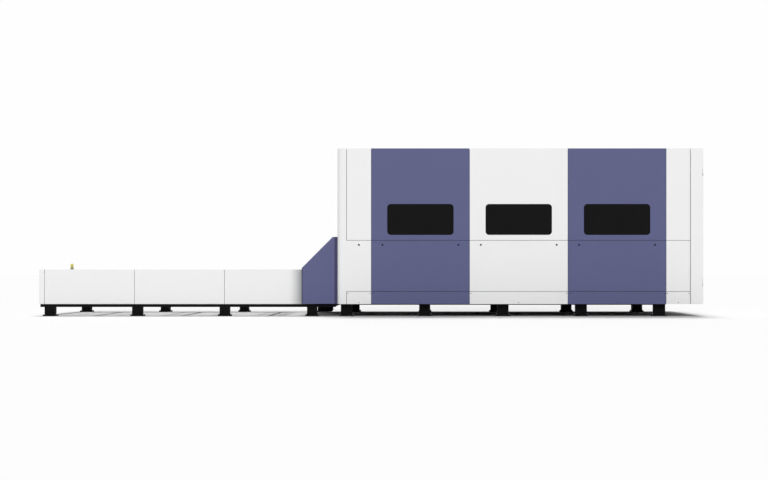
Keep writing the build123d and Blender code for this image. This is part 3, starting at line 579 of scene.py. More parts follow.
@dataclass(frozen=True)
class PowderCoat(Finish):
    """Baked powder coat, with its orange peel."""

    peel: float = 0.12
    peel_scale: float = 320.0


@dataclass(frozen=True)
class PaintedShadeCoat(PowderCoat):
    """White coat with painted shade that greys it towards the hood, in the corner by the hood.

    The grey starts at start and has its whole weight at full, both places along X.
    """

    start: float = -1.115
    full: float = -0.845
    weight: float = 0.94
    # The dark grey of the painted shade near the hood.
    painted_shade: Point = (0.16, 0.165, 0.17)

    def tone(self, graph: Graph) -> Socket:
        """The coat's colour, with painted shade greying it near the hood.

        Args:
            graph: the material's graph.

        Returns:
            The colour.
        """
        # Painted shade: the colour mixes towards dark grey along X as it nears the hood.
        shade_rise = graph.add("ShaderNodeMapRange", graph.place("X"), interpolation_type="SMOOTHSTEP",
                         From_Min=self.start, From_Max=self.full, To_Max=self.weight)
        return graph.mix(shade_rise.outputs["Result"], Finish.tone(self, graph), self.painted_shade)


@dataclass(frozen=True)
class WorkedMetal(Finish):
    """Ground, rolled or turned metal with its grain."""

    grain_scale: float = 90.0
    grain_depth: float = 0.25

    def relief(self, graph: Graph) -> Socket:
        """The bump of the grain's lines."""
        return self.bump(graph, self.group(graph, Effect.GRAIN, Scale=self.grain_scale), self.grain_depth)


@dataclass(frozen=True)
class ScorchedSteel(WorkedMetal):
    """Slat steel with dark spatter and heat colour."""

    scorch: Point = (0.045, 0.04, 0.04)
    patch_scale: float = 22.0
    patch_detail: float = 6.0
    patch_from: Span = (0.45, 0.62)

    def tone(self, graph: Graph) -> Socket:
        """The steel's colour with patches of scorch.

        Args:
            graph: the material's graph.

        Returns:
            The colour.
        """
        noise = SurfaceGroups.noise(graph, self.patch_scale, self.patch_detail)
        low, high = self.patch_from
        patch = graph.add("ShaderNodeMapRange", noise, From_Min=low, From_Max=high)
        return graph.mix(patch.outputs["Result"], Finish.tone(self, graph), self.scorch)


@dataclass(frozen=True)
class Pane(Finish):
    """A dark protective window."""

    def constants(self) -> dict[str, object]:
        """Adds the pane's polish to the constants."""
        return Finish.constants(self) | {"Coat Weight": 0.12, "Coat Roughness": 0.04}


@dataclass(frozen=True)
class Lens(Finish):
    """A coloured see-through lens."""

    def constants(self) -> dict[str, object]:
        """Adds the light that passes into the lens.

        Returns:
            The socket values.
        """
        return Finish.constants(self) | {
            "Transmission Weight": 0.15, "Subsurface Weight": 0.4,
            "Subsurface Radius": (0.02, 0.016, 0.004), "Subsurface Scale": 0.6,
        }


class Palette(Enum):
    """Every finish of the machine: name, colour, least and most roughness, drift and its scale."""

    WHITE = PowderCoat("white_paint", (0.868, 0.868, 0.87), 0.38, 0.48, 0.02, 1.6, 0.4, dust=0.05)
    # Painted shade: the table's white greys towards the hood.
    TABLE_WHITE = PaintedShadeCoat("white_paint_table", (0.865, 0.865, 0.868), 0.38, 0.48, 0.02, 1.6, 0.4,
                             slot="white_paint")
    BLUE = PowderCoat("blue_paint", (0.1, 0.109, 0.231), 0.42, 0.52, 0.05, 1.6, 0.3, dust=0.03)
    BLACK = PowderCoat("black_paint", (0.0075, 0.0075, 0.0079), 0.5, 0.65, 0.25, 6.0, 0.03, dust=0.006)
    GREY = PowderCoat("machine_grey", (0.2, 0.21, 0.22), 0.45, 0.55, 0.08, 3.0)
    PANE = Pane("tinted_pane", (0.0045, 0.0045, 0.0045), 0.1, 0.16, 0.1, 1.0, 0.08)
    STEEL = WorkedMetal("bare_steel", (0.5, 0.5, 0.5), 0.28, 0.42, 0.1, 3.0, metallic=1.0)
    SLAT = ScorchedSteel("slat_steel", (0.3, 0.28, 0.26), 0.45, 0.65, 0.3, 9.0, metallic=0.9)
    PLATED = WorkedMetal("plated_steel", (0.7, 0.7, 0.7), 0.18, 0.28, 0.05, 8.0, metallic=1.0,
                         grain_depth=0.05)
    ALLOY = WorkedMetal("beam_metal", (0.7, 0.71, 0.72), 0.34, 0.46, 0.06, 2.0, metallic=1.0,
                        grain_depth=0.12)
    HEAD = WorkedMetal("head_metal", (0.72, 0.72, 0.74), 0.25, 0.38, 0.05, 6.0, metallic=1.0,
                       grain_depth=0.08)
    IRON = WorkedMetal("wheel_iron", (0.12, 0.12, 0.12), 0.4, 0.55, 0.2, 14.0, metallic=0.8)
    CHAIN = WorkedMetal("chain_steel", (0.1, 0.1, 0.1), 0.3, 0.5, 0.3, 18.0, metallic=0.9)
    SOURCE = PowderCoat("source_white", (0.68, 0.68, 0.69), 0.45, 0.6, 0.04, 4.0)
    GEAR = Finish("gear_grey", (0.33, 0.34, 0.36), 0.5, 0.65, 0.06, 8.0)
    LAMP_BASE = Finish("lamp_base", (0.33, 0.34, 0.17), 0.4, 0.5, 0.06, 20.0)
    LAMP_LENS = Lens("lamp_lens", (0.85, 0.76, 0.13), 0.18, 0.26, 0.06, 30.0)
    RUBBER = Finish("black_rubber", (0.004, 0.004, 0.004), 0.6, 0.75, 0.2, 20.0, 0.1)
    # Painted shade: the dark blue of the strips by the hood.
    SEAL = Finish("hood_seal_blue", (0.056, 0.054, 0.119), 0.6, 0.75, 0.08, 20.0, 0.2)
    DARK_PLASTIC = Finish("dark_plastic", (0.006, 0.006, 0.0065), 0.4, 0.55, 0.1, 12.0, 0.12)
    SCREEN = Pane("screen_glass", (0.012, 0.02, 0.03), 0.08, 0.14, 0.1, 4.0, 0.5)

    @classmethod
    def of_node(cls, node: str) -> "Palette":
        """The finish of the slot that the record gives a node."""
        return next(item for item in cls if item.value.name == NODE_SLOT[node])


def dress(piece: Piece, finish: Palette, body: str, *nodes: str) -> Piece:
    """Gives a finished piece its material and body.

    Args:
        piece: the piece.
        finish: its finish.
        body: the body it rides on.
        nodes: the frame's nodes that it stands for.

    Returns:
        The same piece.
    """
    piece.data.materials.clear()
    piece.data.materials.append(finish.value.material())
    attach(piece, body)
    if nodes:
        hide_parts(*nodes)
    return piece


# Sheet metal and frames

@dataclass
class EdgedNodes:
    """Folded sheets and weldments of the frame, with their edges rounded as bending leaves them."""

    sheet_edge: float = 0.0009
    heavy_edge: float = 0.003
    doubles: float = 0.00002
    flat: float = radians(0.6)
    sheets: tuple[str, ...] = (
        "corner_covers", "end_posts", "strip_panels", "upper_panels_blue", "upper_panel_white",
        "lower_panels_blue", "lower_panel_white", "bay_panels_far", "skirts_blue", "skirts_white",
        "roof_panels", "left_wall", "hood", "cabinet_bulkhead", "entry_door", "door_leaf_left",
        "door_leaf_right", "door_tracks", "table_panels", "table_end_cover", "pallet_tracks",
        "guide_rails", "cross_carriage", "cutting_head", "control_gear", "chain_guides",
    )
    heavy: tuple[str, ...] = (
        "enclosure_frame", "bed_frame", "table_frame", "gantry_beam", "gantry_drives",
        "upper_pallet_frame", "lower_pallet_frame", "cabin_feet", "table_feet", "laser_source",
    )

    def merged_copy(self, node: str) -> Piece:
        """A copy of a node with its doubles merged and its flat faces whole.

        Args:
            node: the node's name.

        Returns:
            The copy, with no body yet.
        """
        piece = bpy.data.objects.new(f"{node}_edged", frame["nodes"][node].data.copy())
        bpy.context.scene.collection.objects.link(piece)
        Bench.pick(piece)
        bpy.ops.object.mode_set(mode="EDIT")
        bpy.ops.mesh.select_all(action="SELECT")
        bpy.ops.mesh.remove_doubles(threshold=self.doubles)
        bpy.ops.mesh.dissolve_limited(angle_limit=self.flat)
        bpy.ops.object.mode_set(mode="OBJECT")
        return piece

    def build(self) -> None:
        """Rounds every sheet and weldment; the table's panels take the white coat with painted shade near the
        hood.
        """
        for names, width in ((self.sheets, self.sheet_edge), (self.heavy, self.heavy_edge)):
            for node in names:
                # The table's panels get the white with painted shade near the hood.
                finish = Palette.TABLE_WHITE if node == "table_panels" else Palette.of_node(node)
                dress(Bench.soften(self.merged_copy(node), width), finish, NODE_BODY[node], node)


@dataclass
class Windows:
    """Fixed windows of the service side and the windows of the two leaves."""

    width: float = 0.889
    height: float = 0.414
    corner: float = 0.048
    middle: float = 1.298
    face: float = PANEL_FACE - 0.0025
    bays: tuple[float, ...] = (1.11525, 2.43175, 3.74825)
    leaf_width: float = 0.43
    leaves: tuple[tuple[str, float], ...] = (("left", 2.092125), ("right", 2.771375))
    lap: float = 0.016
    thick: float = 0.005
    glass_edge: float = 0.0008
    lip: float = 0.007
    lip_edge: float = 0.0012
    lip_y: Span = (0.0048, 0.0025)
    beyond: float = 0.01

    def plate(self, name: str, x: float, grow: float, y: Span, width: float) -> Piece:
        """An upright plate with rounded corners.

        Args:
            name: its name.
            x: its middle.
            grow: how far its edge lies beyond the opening's.
            y: its two faces.
            width: the opening's width.

        Returns:
            The plate.
        """
        piece = Bench.block(name, about(x, width / 2 + grow), y,
                            about(self.middle, self.height / 2 + grow))
        points = [vertex.co.copy() for vertex in piece.data.vertices]

        def is_corner(edge: bpy.types.MeshEdge) -> bool:
            """An edge that runs through the plate."""
            start, end = edge.vertices
            return abs((points[end] - points[start]).y) > 0.001

        Bench.choose(piece, Kind.EDGE, is_corner)
        bpy.ops.mesh.bevel(offset=self.corner + grow, segments=8, affect="EDGES")
        bpy.ops.object.mode_set(mode="OBJECT")
        return piece

    def gasket(self, name: str, x: float, side: int, width: float) -> Piece:
        """The rubber lip that lines an opening.

        Args:
            name: its name.
            x: the opening's middle.
            side: -1 at the service side, 1 at the operator's.
            width: the opening's width.

        Returns:
            The lip.
        """
        inwards, outwards = self.lip_y
        low, high = sorted((side * (self.face + outwards), side * (self.face - inwards)))
        ring = self.plate(name, x, 0.0, (low, high), width)
        through = (low - self.beyond, high + self.beyond)
        Bench.cut(ring, self.plate(f"{name}_inner", x, -self.lip, through, width))
        return Bench.soften(ring, self.lip_edge)

    def build(self) -> None:
        """Makes the panes and their gaskets."""
        panes, lips = [], []
        for number, place in enumerate(self.bays, start=1):
            y = (-self.face, -self.face + self.thick)
            panes.append(self.plate(f"pane_{number}", along(place), self.lap, y, self.width))
            lips.append(self.gasket(f"lip_{number}", along(place), -1, self.width))
        whole = Bench.soften(Bench.join("window_glass", panes), self.glass_edge)
        dress(whole, Palette.PANE, MACHINE, "window_panes")
        dress(Bench.join("window_gaskets", lips), Palette.RUBBER, MACHINE)
        for label, place in self.leaves:
            y = (self.face - self.thick, self.face)
            pane = self.plate(f"leaf_glass_{label}", along(place), self.lap, y, self.leaf_width)
            dress(Bench.soften(pane, self.glass_edge), Palette.PANE, f"leaf_{label}",
                  f"leaf_window_{label}")
            lip = self.gasket(f"leaf_gasket_{label}", along(place), 1, self.leaf_width)
            dress(lip, Palette.RUBBER, f"leaf_{label}")


@dataclass
class QuarterTurnLocks:
    """The seven locks of the lower panels."""

    places: tuple[float, ...] = (0.2915, 0.607, 1.6235, 1.9235, 2.94, 3.24, 4.2565)
    height: float = 0.958
    radius: float = 0.0125
    proud: float = 0.003
    gap: float = 0.0003
    head_edge: float = 0.0008
    slot: float = 0.0028
    slot_half: float = 0.009
    slot_y: Span = (-0.01, -0.0018)
    shank: float = 0.006
    shank_length: float = 0.032
    cam_y: Span = (-1.0935, -1.0895)
    cam_half: float = 0.007
    cam_reach: float = 0.028
    cam_edge: float = 0.0012

    def build(self) -> None:
        """Makes each lock's head with its slot, its shank and its cam."""
        z, face = self.height, -PANEL_FACE
        for number, place in enumerate(self.places, start=1):
            x = along(place)
            head = Bench.bar("head", self.radius, (x, face - (self.proud + self.gap) / 2, z),
                             self.proud - self.gap, Run.Y, 40, self.head_edge, 3)
            Bench.cut(head, Bench.block("groove", about(x, self.slot / 2), beside(face, self.slot_y),
                                        about(z, self.slot_half)))
            shank = Bench.bar("shank", self.shank, (x, face + self.shank_length / 2, z),
                              self.shank_length, Run.Y, 20)
            cam = Bench.block("cam", about(x, self.cam_half), self.cam_y,
                              (z - self.cam_half, z + self.cam_reach), self.cam_edge)
            whole = Bench.join(f"lock_{number}_finished", [head, shank, cam])
            dress(whole, Palette.DARK_PLASTIC, f"lock_{number}", f"lock_{number}")


@dataclass
class PanelScrews:
    """Button-head screws of the skirts and the table's side panels."""

    radius: float = 0.0055
    proud: float = 0.0024
    edge: float = 0.0012
    socket: float = 0.00231
    socket_deep: float = 0.0008
    skirts: tuple[Span, ...] = (
        (0.1285, 0.4545), (0.4595, 1.771), (1.776, 3.0875), (3.0925, 4.404), (4.409, 4.7275),
    )
    skirt_low: float = 0.183
    skirt_high: float = 0.3075
    skirt_inset: float = 0.015
    far_bay_face: float = 1.097
    table_face: float = 1.025
    table_left: float = 0.073
    table_right: float = 3.709
    table_count: int = 3
    table_inset: float = 0.018
    table_rows: Span = (0.185, 0.606)
    hood_front: float = CABIN_LEFT - 0.5

    def screw(self) -> Piece:
        """One screw at the origin, facing -Y, with its hexagon socket.

        Returns:
            The screw.
        """
        head = Bench.bar("screw", self.radius, (0, -self.proud / 2, 0), self.proud, Run.Y, 20, self.edge)
        Bench.cut(head, Bench.bar("socket", self.socket, (0, -self.proud, 0), 2 * self.socket_deep,
                                  Run.Y, 6))
        return head

    def row(self, name: str, near: list[Point], far: list[Point], finish: Palette) -> None:
        """Copies of the screw on both sides of the machine.

        Args:
            name: the joined piece's name.
            near: each screw's place at the service side.
            far: each screw's place at the operator's side.
            finish: their finish.
        """
        flip = Matrix.Rotation(pi, 4, "Z")
        places = Bench.shifts(near) + [Matrix.Translation(place) @ flip for place in far]
        dress(Bench.join(name, Bench.repeat(self.screw(), places)), finish, MACHINE)

    def build(self) -> None:
        """Sets the skirts' screws and the table's."""
        near, far = [], []
        for number, (left, right) in enumerate(self.skirts):
            at_end = number in (0, len(self.skirts) - 1)
            depth = PANEL_FACE if at_end else self.far_bay_face
            upper = [(x, self.skirt_high) for x in (left + self.skirt_inset, right - self.skirt_inset)]
            for x, z in (*upper, ((left + right) / 2, self.skirt_low)):
                near.append((along(x), -PANEL_FACE, z))
                far.append((along(x), depth, z))
        self.row("skirt_screws", near, far, Palette.DARK_PLASTIC)

        pitch = (self.table_right - self.table_left) / self.table_count
        near = []
        for i in range(self.table_count):
            left = TABLE_LEFT + self.table_left + pitch * i
            right = self.hood_front if i == self.table_count - 1 else left + pitch
            near += [(x, -self.table_face, z) for x in (left + self.table_inset, right - self.table_inset)
                     for z in self.table_rows]
        self.row("table_screws", near, [(x, -y, z) for x, y, z in near], Palette.WHITE)


@dataclass
class HoodShadeStrips:
    """Dark blue strips of painted shade: one in the gap between the hood and the cabin's end, and thin ones
    along the hood's front edges.
    """

    width: float = 0.04
    front_width: float = 0.011
    front: float = CABIN_LEFT - 0.48
    eave: float = 0.645
    face: float = 1.0606
    deep: float = 0.006
    low: float = 0.168
    high: float = 1.0655
    lap: float = 0.0005
    top_z: Span = (-0.004, 0.0011)
    edge: float = 0.0003

    def build(self) -> None:
        """Makes the painted-shade strip down both sides and over the top, and the thin strips on the front
        edges.
        """
        # Painted shade: dark strips stand where the hood meets the cabin and along the hood's front edges.
        x = (CABIN_LEFT - self.width, CABIN_LEFT + self.lap)
        front = (self.front, self.front + self.front_width)
        pieces = []
        for side in (-1, 1):
            y = tuple(sorted((side * self.face, side * (self.face - self.deep))))
            pieces.append(Bench.block("seal", x, y, (self.low, self.high), self.edge))
            pieces.append(Bench.block("edge", front, y, (self.low, self.eave), self.edge))
        pieces.append(Bench.block("seal", x, about(0, self.face), beside(self.high, self.top_z), self.edge))
        dress(Bench.join("hood_seal", pieces), Palette.SEAL, MACHINE)


@dataclass
class FootBolts:
    """Nuts, washers and levelling screws on the base plates."""

    cabin: tuple[float, ...] = (0.116, 1.17225, 2.2285, 3.28475, 4.341)
    cabin_half: float = 0.075
    table: tuple[float, ...] = (0.131, 1.311, 2.491, 3.671)
    table_half: float = 0.065
    row: float = 0.94
    top: float = 0.02
    lip: float = 0.01
    bolt_parts: tuple[tuple[str, float, Span, int, float], ...] = (
        ("washer", 0.0085, (0.0, 0.0016), 24, 0.0003),
        ("nut", 0.0072, (0.0016, 0.0076), 6, 0.0005),
        ("end", 0.004, (0.001, 0.013), 16, 0.0006),
    )

    def bolt(self) -> Piece:
        """A washer, nut and screw end on a plate at the origin.

        Returns:
            The three as one piece.
        """
        return Bench.join("bolt", [
            Bench.bar(name, radius, (0, 0, (low + high) / 2), high - low, Run.Z, sides, edge, 1)
            for name, radius, (low, high), sides, edge in self.bolt_parts
        ])

    def build(self) -> None:
        """Places a bolt at each outer edge of every plate."""
        feet = [(CABIN_LEFT + x, self.cabin_half) for x in self.cabin]
        feet += [(TABLE_LEFT + x, self.table_half) for x in self.table]
        places = [(x + side * (half + self.lip), y, self.top)
                  for x, half in feet for side in (-1, 1) for y in (-self.row, self.row)]
        bolts = Bench.repeat(self.bolt(), Bench.shifts(places))
        dress(Bench.join("foot_bolts", bolts), Palette.PLATED, MACHINE)


@dataclass
class SignalLamp:
    """The small lamp on the table's top edge."""

    x: float = TABLE_LEFT + 0.438
    y: float = -1.002
    top: float = 0.628
    base_high: float = 0.027
    base_half: float = 0.02
    base_edge: float = 0.004
    foot_below: float = 0.006
    collar_radius: float = 0.0195
    collar: float = 0.008
    collar_edge: float = 0.0012
    radius: float = 0.019
    high: float = 0.053
    dome: float = 0.011
    rings: int = 4
    ring_pitch: float = 0.008
    ring_low: float = 0.006
    ring_deep: float = 0.0015
    ring_edge: float = 0.0014

    def build(self) -> None:
        """Makes the base with its collar, and the ribbed lens."""
        low = self.top + self.base_high
        foot = Bench.block("lamp_foot", about(self.x, self.base_half), about(self.y, self.base_half),
                           (self.top, low - self.foot_below), self.base_edge, 4)
        collar = Bench.bar("collar", self.collar_radius, (self.x, self.y, low - self.collar / 2),
                           self.collar, Run.Z, 40, self.collar_edge)
        dress(Bench.join("lamp_base_finished", [foot, collar]), Palette.LAMP_BASE, MACHINE, "beacon_base")

        pieces = [Bench.bar("lens", self.radius - self.ring_deep, (self.x, self.y, low + self.high / 2),
                            self.high, Run.Z, 48, self.dome, 5)]
        for i in range(self.rings):
            middle = (self.x, self.y, low + self.ring_low + self.ring_pitch * i)
            pieces.append(Bench.bar("ring", self.radius, middle, self.ring_pitch / 2, Run.Z, 48,
                                    self.ring_edge))
        dress(Bench.join("lamp_lens_finished", pieces), Palette.LAMP_LENS, MACHINE, "beacon_lens")


# Exchange table and pallets

@dataclass
class PalletSlats:
    """Serrated slats of one pallet, with finer teeth than the solids have."""

    name: str
    start: float
    level: float
    inset: float = 0.118
    pitch: float = 0.156
    count: int = 20
    half: float = 0.748
    thick: float = 0.004
    height: float = 0.1
    raised: float = 0.045
    tooth: float = 0.018
    teeth: int = 24

    def slat(self, low: float) -> Piece:
        """One slat at X zero.

        Args:
            low: its lower edge.

        Returns:
            The slat, cut from a strip with pointed teeth.
        """
        bpy.ops.object.select_all(action="DESELECT")
        body = self.height - self.tooth
        bpy.ops.mesh.primitive_grid_add(x_subdivisions=2 * self.teeth, y_subdivisions=1, size=1,
                                        location=(0, 0, low + body / 2), rotation=(pi / 2, 0, pi / 2))
        bpy.context.active_object.scale = (2 * self.half, body, 1)
        slat = Bench.settle("slat")
        step = self.half / self.teeth

        def is_tip(point: bpy.types.MeshVertex) -> bool:
            """Every other point of the upper edge."""
            return round((point.co.y + self.half) / step) % 2 == 1 and point.co.z > low + body / 2

        Bench.shift(slat, is_tip, (0, 0, self.tooth))
        Bench.modify(slat, "SOLIDIFY", thickness=self.thick, offset=0)
        return slat

    def build(self) -> None:
        """Makes the slats and sets them at their pitch."""
        places = [(self.start + self.inset + self.pitch * i, 0, 0) for i in range(self.count)]
        slats = Bench.repeat(self.slat(self.level + self.raised), Bench.shifts(places))
        whole = Bench.join(f"{self.name}_slats_finished", slats)
        dress(whole, Palette.SLAT, f"{self.name}_pallet", f"{self.name}_pallet_slats")


@dataclass
class PalletWheels:
    """The wheels of one axle, with rims, hubs and a cap each."""

    name: str
    body: str
    x: float
    level: float
    radius: float = 0.0497
    inner: float = 0.826
    outer: float = 0.864
    rim: float = 0.009
    dish: float = 0.007
    edge: float = 0.0014
    axle: float = 0.015
    axle_lap: float = 0.002
    cap: float = 0.012
    cap_radius: float = 0.019
    cap_edge: float = 0.0025
    fine_edge: float = 0.0001
    running_gap: float = 0.0003

    def build(self) -> None:
        """Turns both wheels and their axle."""
        z = self.level + self.running_gap + self.radius
        pieces = []
        for side in (-1, 1):
            middle = side * (self.inner + self.outer) / 2
            wheel = Bench.bar("wheel", self.radius, (self.x, middle, z), self.outer - self.inner, Run.Y, 56)
            Bench.hollow(wheel, Vector((0, side, 0)), self.rim, self.dish)
            cap_y = side * (self.outer - self.cap / 2)
            cap = Bench.bar("cap", self.cap_radius, (self.x, cap_y, z), self.cap, Run.Y, edge=self.cap_edge)
            pieces += [Bench.soften(wheel, self.edge), cap]
        length = 2 * (self.inner + self.axle_lap)
        pieces.append(Bench.bar("axle", self.axle, (self.x, 0, z), length, Run.Y))
        whole = Bench.soften(Bench.join(f"{self.name}_finished", pieces), self.fine_edge, 1)
        dress(whole, Palette.IRON, self.body, self.name)


@dataclass
class RollerChain:
    """One of the two roller chains that pull the pallets."""

    name: str
    line: float
    pitch: float = 0.0254
    plate_high: float = 0.0155
    plate_thick: float = 0.0022
    spreads: Span = (0.0062, 0.0086)
    roller: float = 0.0062
    roller_wide: float = 0.0115
    pin: float = 0.003
    wide: float = 0.02
    level: float = 0.405
    half: float = 0.09
    left: float = TABLE_LEFT + 0.141
    right: float = CABIN_LEFT + 0.56
    drive_radius: float = 0.068
    turn: float = 0.024
    most_degrees: float = 5.0

    def arc(self, x: float, z: float, radius: float, first: float, last: float) -> list[Span]:
        """Points round one turn of the path.

        Args:
            x: the turn's middle.
            z: its height.
            radius: its radius.
            first: the angle it starts at, in degrees.
            last: the angle it ends at.

        Returns:
            The points, a few degrees apart.
        """
        steps = ceil(abs(last - first) / self.most_degrees)
        turns = [radians(first + (last - first) * i / steps) for i in range(steps + 1)]
        return [(x + radius * cos(t), z + radius * sin(t)) for t in turns]

    def path(self) -> list[Span]:
        """The chain's middle line.

        Returns:
            Its points in X and Z; the last one is the first again.
        """
        low = self.level - self.half - self.turn
        reach = self.drive_radius + self.turn
        points = self.arc(SHAFT_X - reach, low, self.turn, 90, 0)
        points += self.arc(SHAFT_X, SHAFT_Z, self.drive_radius, 180, 360)
        points += self.arc(SHAFT_X + reach, low, self.turn, 180, 90)
        points += self.arc(self.right, self.level, self.half, -90, 90)
        points += self.arc(self.left, self.level, self.half, 90, 270)
        return points + points[:1]

    def joints(self) -> list[Span]:
        """Places one pitch apart along the path.

        Returns:
            The places in X and Z, an even number of them.
        """
        path = self.path()
        runs = [hypot(b[0] - a[0], b[1] - a[1]) for a, b in zip(path, path[1:])]
        count = 2 * round(sum(runs) / self.pitch / 2)
        step = sum(runs) / count
        places, walked, target = [], 0.0, 0.0
        for (a, b), run in zip(zip(path, path[1:]), runs):
            while target < walked + run - TINY and len(places) < count:
                part = (target - walked) / run
                places.append((a[0] + (b[0] - a[0]) * part, a[1] + (b[1] - a[1]) * part))
                target += step
            walked += run
        return places

    def plate(self, offset: float) -> Piece:
        """A link plate from the origin to one pitch along X.

        Args:
            offset: its Y.

        Returns:
            The plate.
        """
        bpy.ops.object.select_all(action="DESELECT")
        bpy.ops.mesh.primitive_circle_add(vertices=12, radius=self.plate_high / 2, fill_type="NGON",
                                          location=(0, offset, 0), rotation=(pi / 2, pi / 12, 0))
        plate = Bench.settle("plate")
        Bench.shift(plate, lambda point: point.co.x > 0, (self.pitch, 0, 0))
        Bench.modify(plate, "SOLIDIFY", thickness=self.plate_thick, offset=0)
        return plate

    def link(self, spread: float) -> Piece:
        """Two link plates and the roller at their start.

        Args:
            spread: how far the plates lie from the chain's line.

        Returns:
            The link.
        """
        roller = Bench.bar("roller", self.roller, (0, 0, 0), self.roller_wide, Run.Y, 12)
        pin = Bench.bar("pin", self.pin, (0, 0, 0), self.wide, Run.Y, 8)
        return Bench.join("link", [self.plate(spread), self.plate(-spread), roller, pin])

    def build(self) -> None:
        """Lays inner and outer links in turn round the path."""
        places = self.joints()
        links = []
        for first, spread in enumerate(self.spreads):
            matrices = []
            for i in range(first, len(places), 2):
                (x, z), (u, v) = places[i], places[(i + 1) % len(places)]
                run = Vector((u - x, 0, v - z)).normalized()
                turned = Matrix(((run.x, 0, -run.z), (0, 1, 0), (run.z, 0, run.x))).to_4x4()
                matrices.append(Matrix.Translation((x, self.line, z)) @ turned)
            links += Bench.repeat(self.link(spread), matrices)
        Bench.join(self.name, links)


@dataclass
class ChainPair:
    """Both chains, in place of the smooth bands."""

    line: float = 0.878

    def build(self) -> None:
        """Builds a chain at each side."""
        for name, line in (("chain_near", -self.line), ("chain_far", self.line)):
            RollerChain(name, line).build()
        near = dress(bpy.data.objects["chain_near"], Palette.CHAIN, MACHINE, "drive_chains")
        far = dress(bpy.data.objects["chain_far"], Palette.CHAIN, MACHINE)
        log.info("chains %d and %d faces", len(near.data.polygons), len(far.data.polygons))


@dataclass
class GearMotor:
    """The gear motor of the exchange drive: rounded housing, finned motor, cowl and box."""

    y: Span = (0.26, 0.44)
    z: Span = (0.022, 0.265)
    back: float = 0.134
    length: float = 0.218
    corner: float = 0.026
    boss: float = 0.045
    boss_y: Span = (-0.005, 0.007)
    boss_edge: float = 0.003
    motor: float = 0.0675
    motor_length: float = 0.24
    motor_off: float = -0.02
    motor_rise: float = 0.083
    barrel_share: float = 0.8
    cowl_share: float = 0.22
    cowl_edge: float = 0.008
    fins: int = 72
    fin: float = 0.006
    fin_foot: float = 0.008
    box_half: float = 0.035
    box_y: Span = (0.05, 0.13)
    box_z: Span = (0.05, 0.1)
    box_edge: float = 0.004
    arm_y: Span = (0.325, 0.375)
    arm_z: Span = (0.14, 0.18)
    arm_end: float = CABIN_LEFT - 0.09
    arm_lap: float = 0.004
    arm_edge: float = 0.003

    def build(self) -> None:
        """Makes the housing and the motor."""
        left = SHAFT_X - self.back
        right = left + self.length
        x, y, z = SHAFT_X + self.motor_off, self.y[1], self.z[0] + self.motor_rise
        barrel, cowl = self.motor_length * self.barrel_share, self.motor_length * self.cowl_share
        finned = Bench.bar("barrel", self.motor - self.fin_foot, (x, y + barrel / 2, z), barrel, Run.Y,
                           self.fins)
        self.raise_fins(finned, x, z)
        boss_low, boss_high = self.boss_y
        pieces = [
            Bench.block("housing", (left, right), self.y, self.z, self.corner, 5),
            Bench.bar("boss", self.boss, (SHAFT_X, self.y[0] + (boss_low + boss_high) / 2, SHAFT_Z),
                      boss_high - boss_low, Run.Y, 40, self.boss_edge),
            finned,
            Bench.bar("cowl", self.motor, (x, y + self.motor_length - cowl / 2, z), cowl, Run.Y, 48,
                      self.cowl_edge, 3),
            Bench.block("box", about(x, self.box_half), beside(y, self.box_y), beside(z, self.box_z),
                        self.box_edge),
            Bench.block("arm", (right - self.arm_lap, self.arm_end), self.arm_y, self.arm_z, self.arm_edge),
        ]
        dress(Bench.join("drive_motor_finished", pieces), Palette.BLACK, MACHINE, "drive_motor")

    def raise_fins(self, barrel: Piece, x: float, z: float) -> None:
        """Raises every other face of the barrel into a cooling fin.

        Args:
            barrel: the barrel.
            x: its axis.
            z: its axis's height.
        """
        def is_fin(face: bpy.types.MeshPolygon) -> bool:
            """Tells whether a face becomes a fin.

            Args:
                face: a face of the barrel.

            Returns:
                True for every other face of the barrel's side.
            """
            if abs(face.normal.y) > 0.5:
                return False
            turn = Vector((face.center.x - x, face.center.z - z)).angle_signed(Vector((1, 0)))
            return round(turn * self.fins / (2 * pi) - 0.5) % 2 == 0

        Bench.choose(barrel, Kind.FACE, is_fin)
        bpy.ops.mesh.extrude_faces_move(TRANSFORM_OT_shrink_fatten={"value": self.fin})
        bpy.ops.object.mode_set(mode="OBJECT")


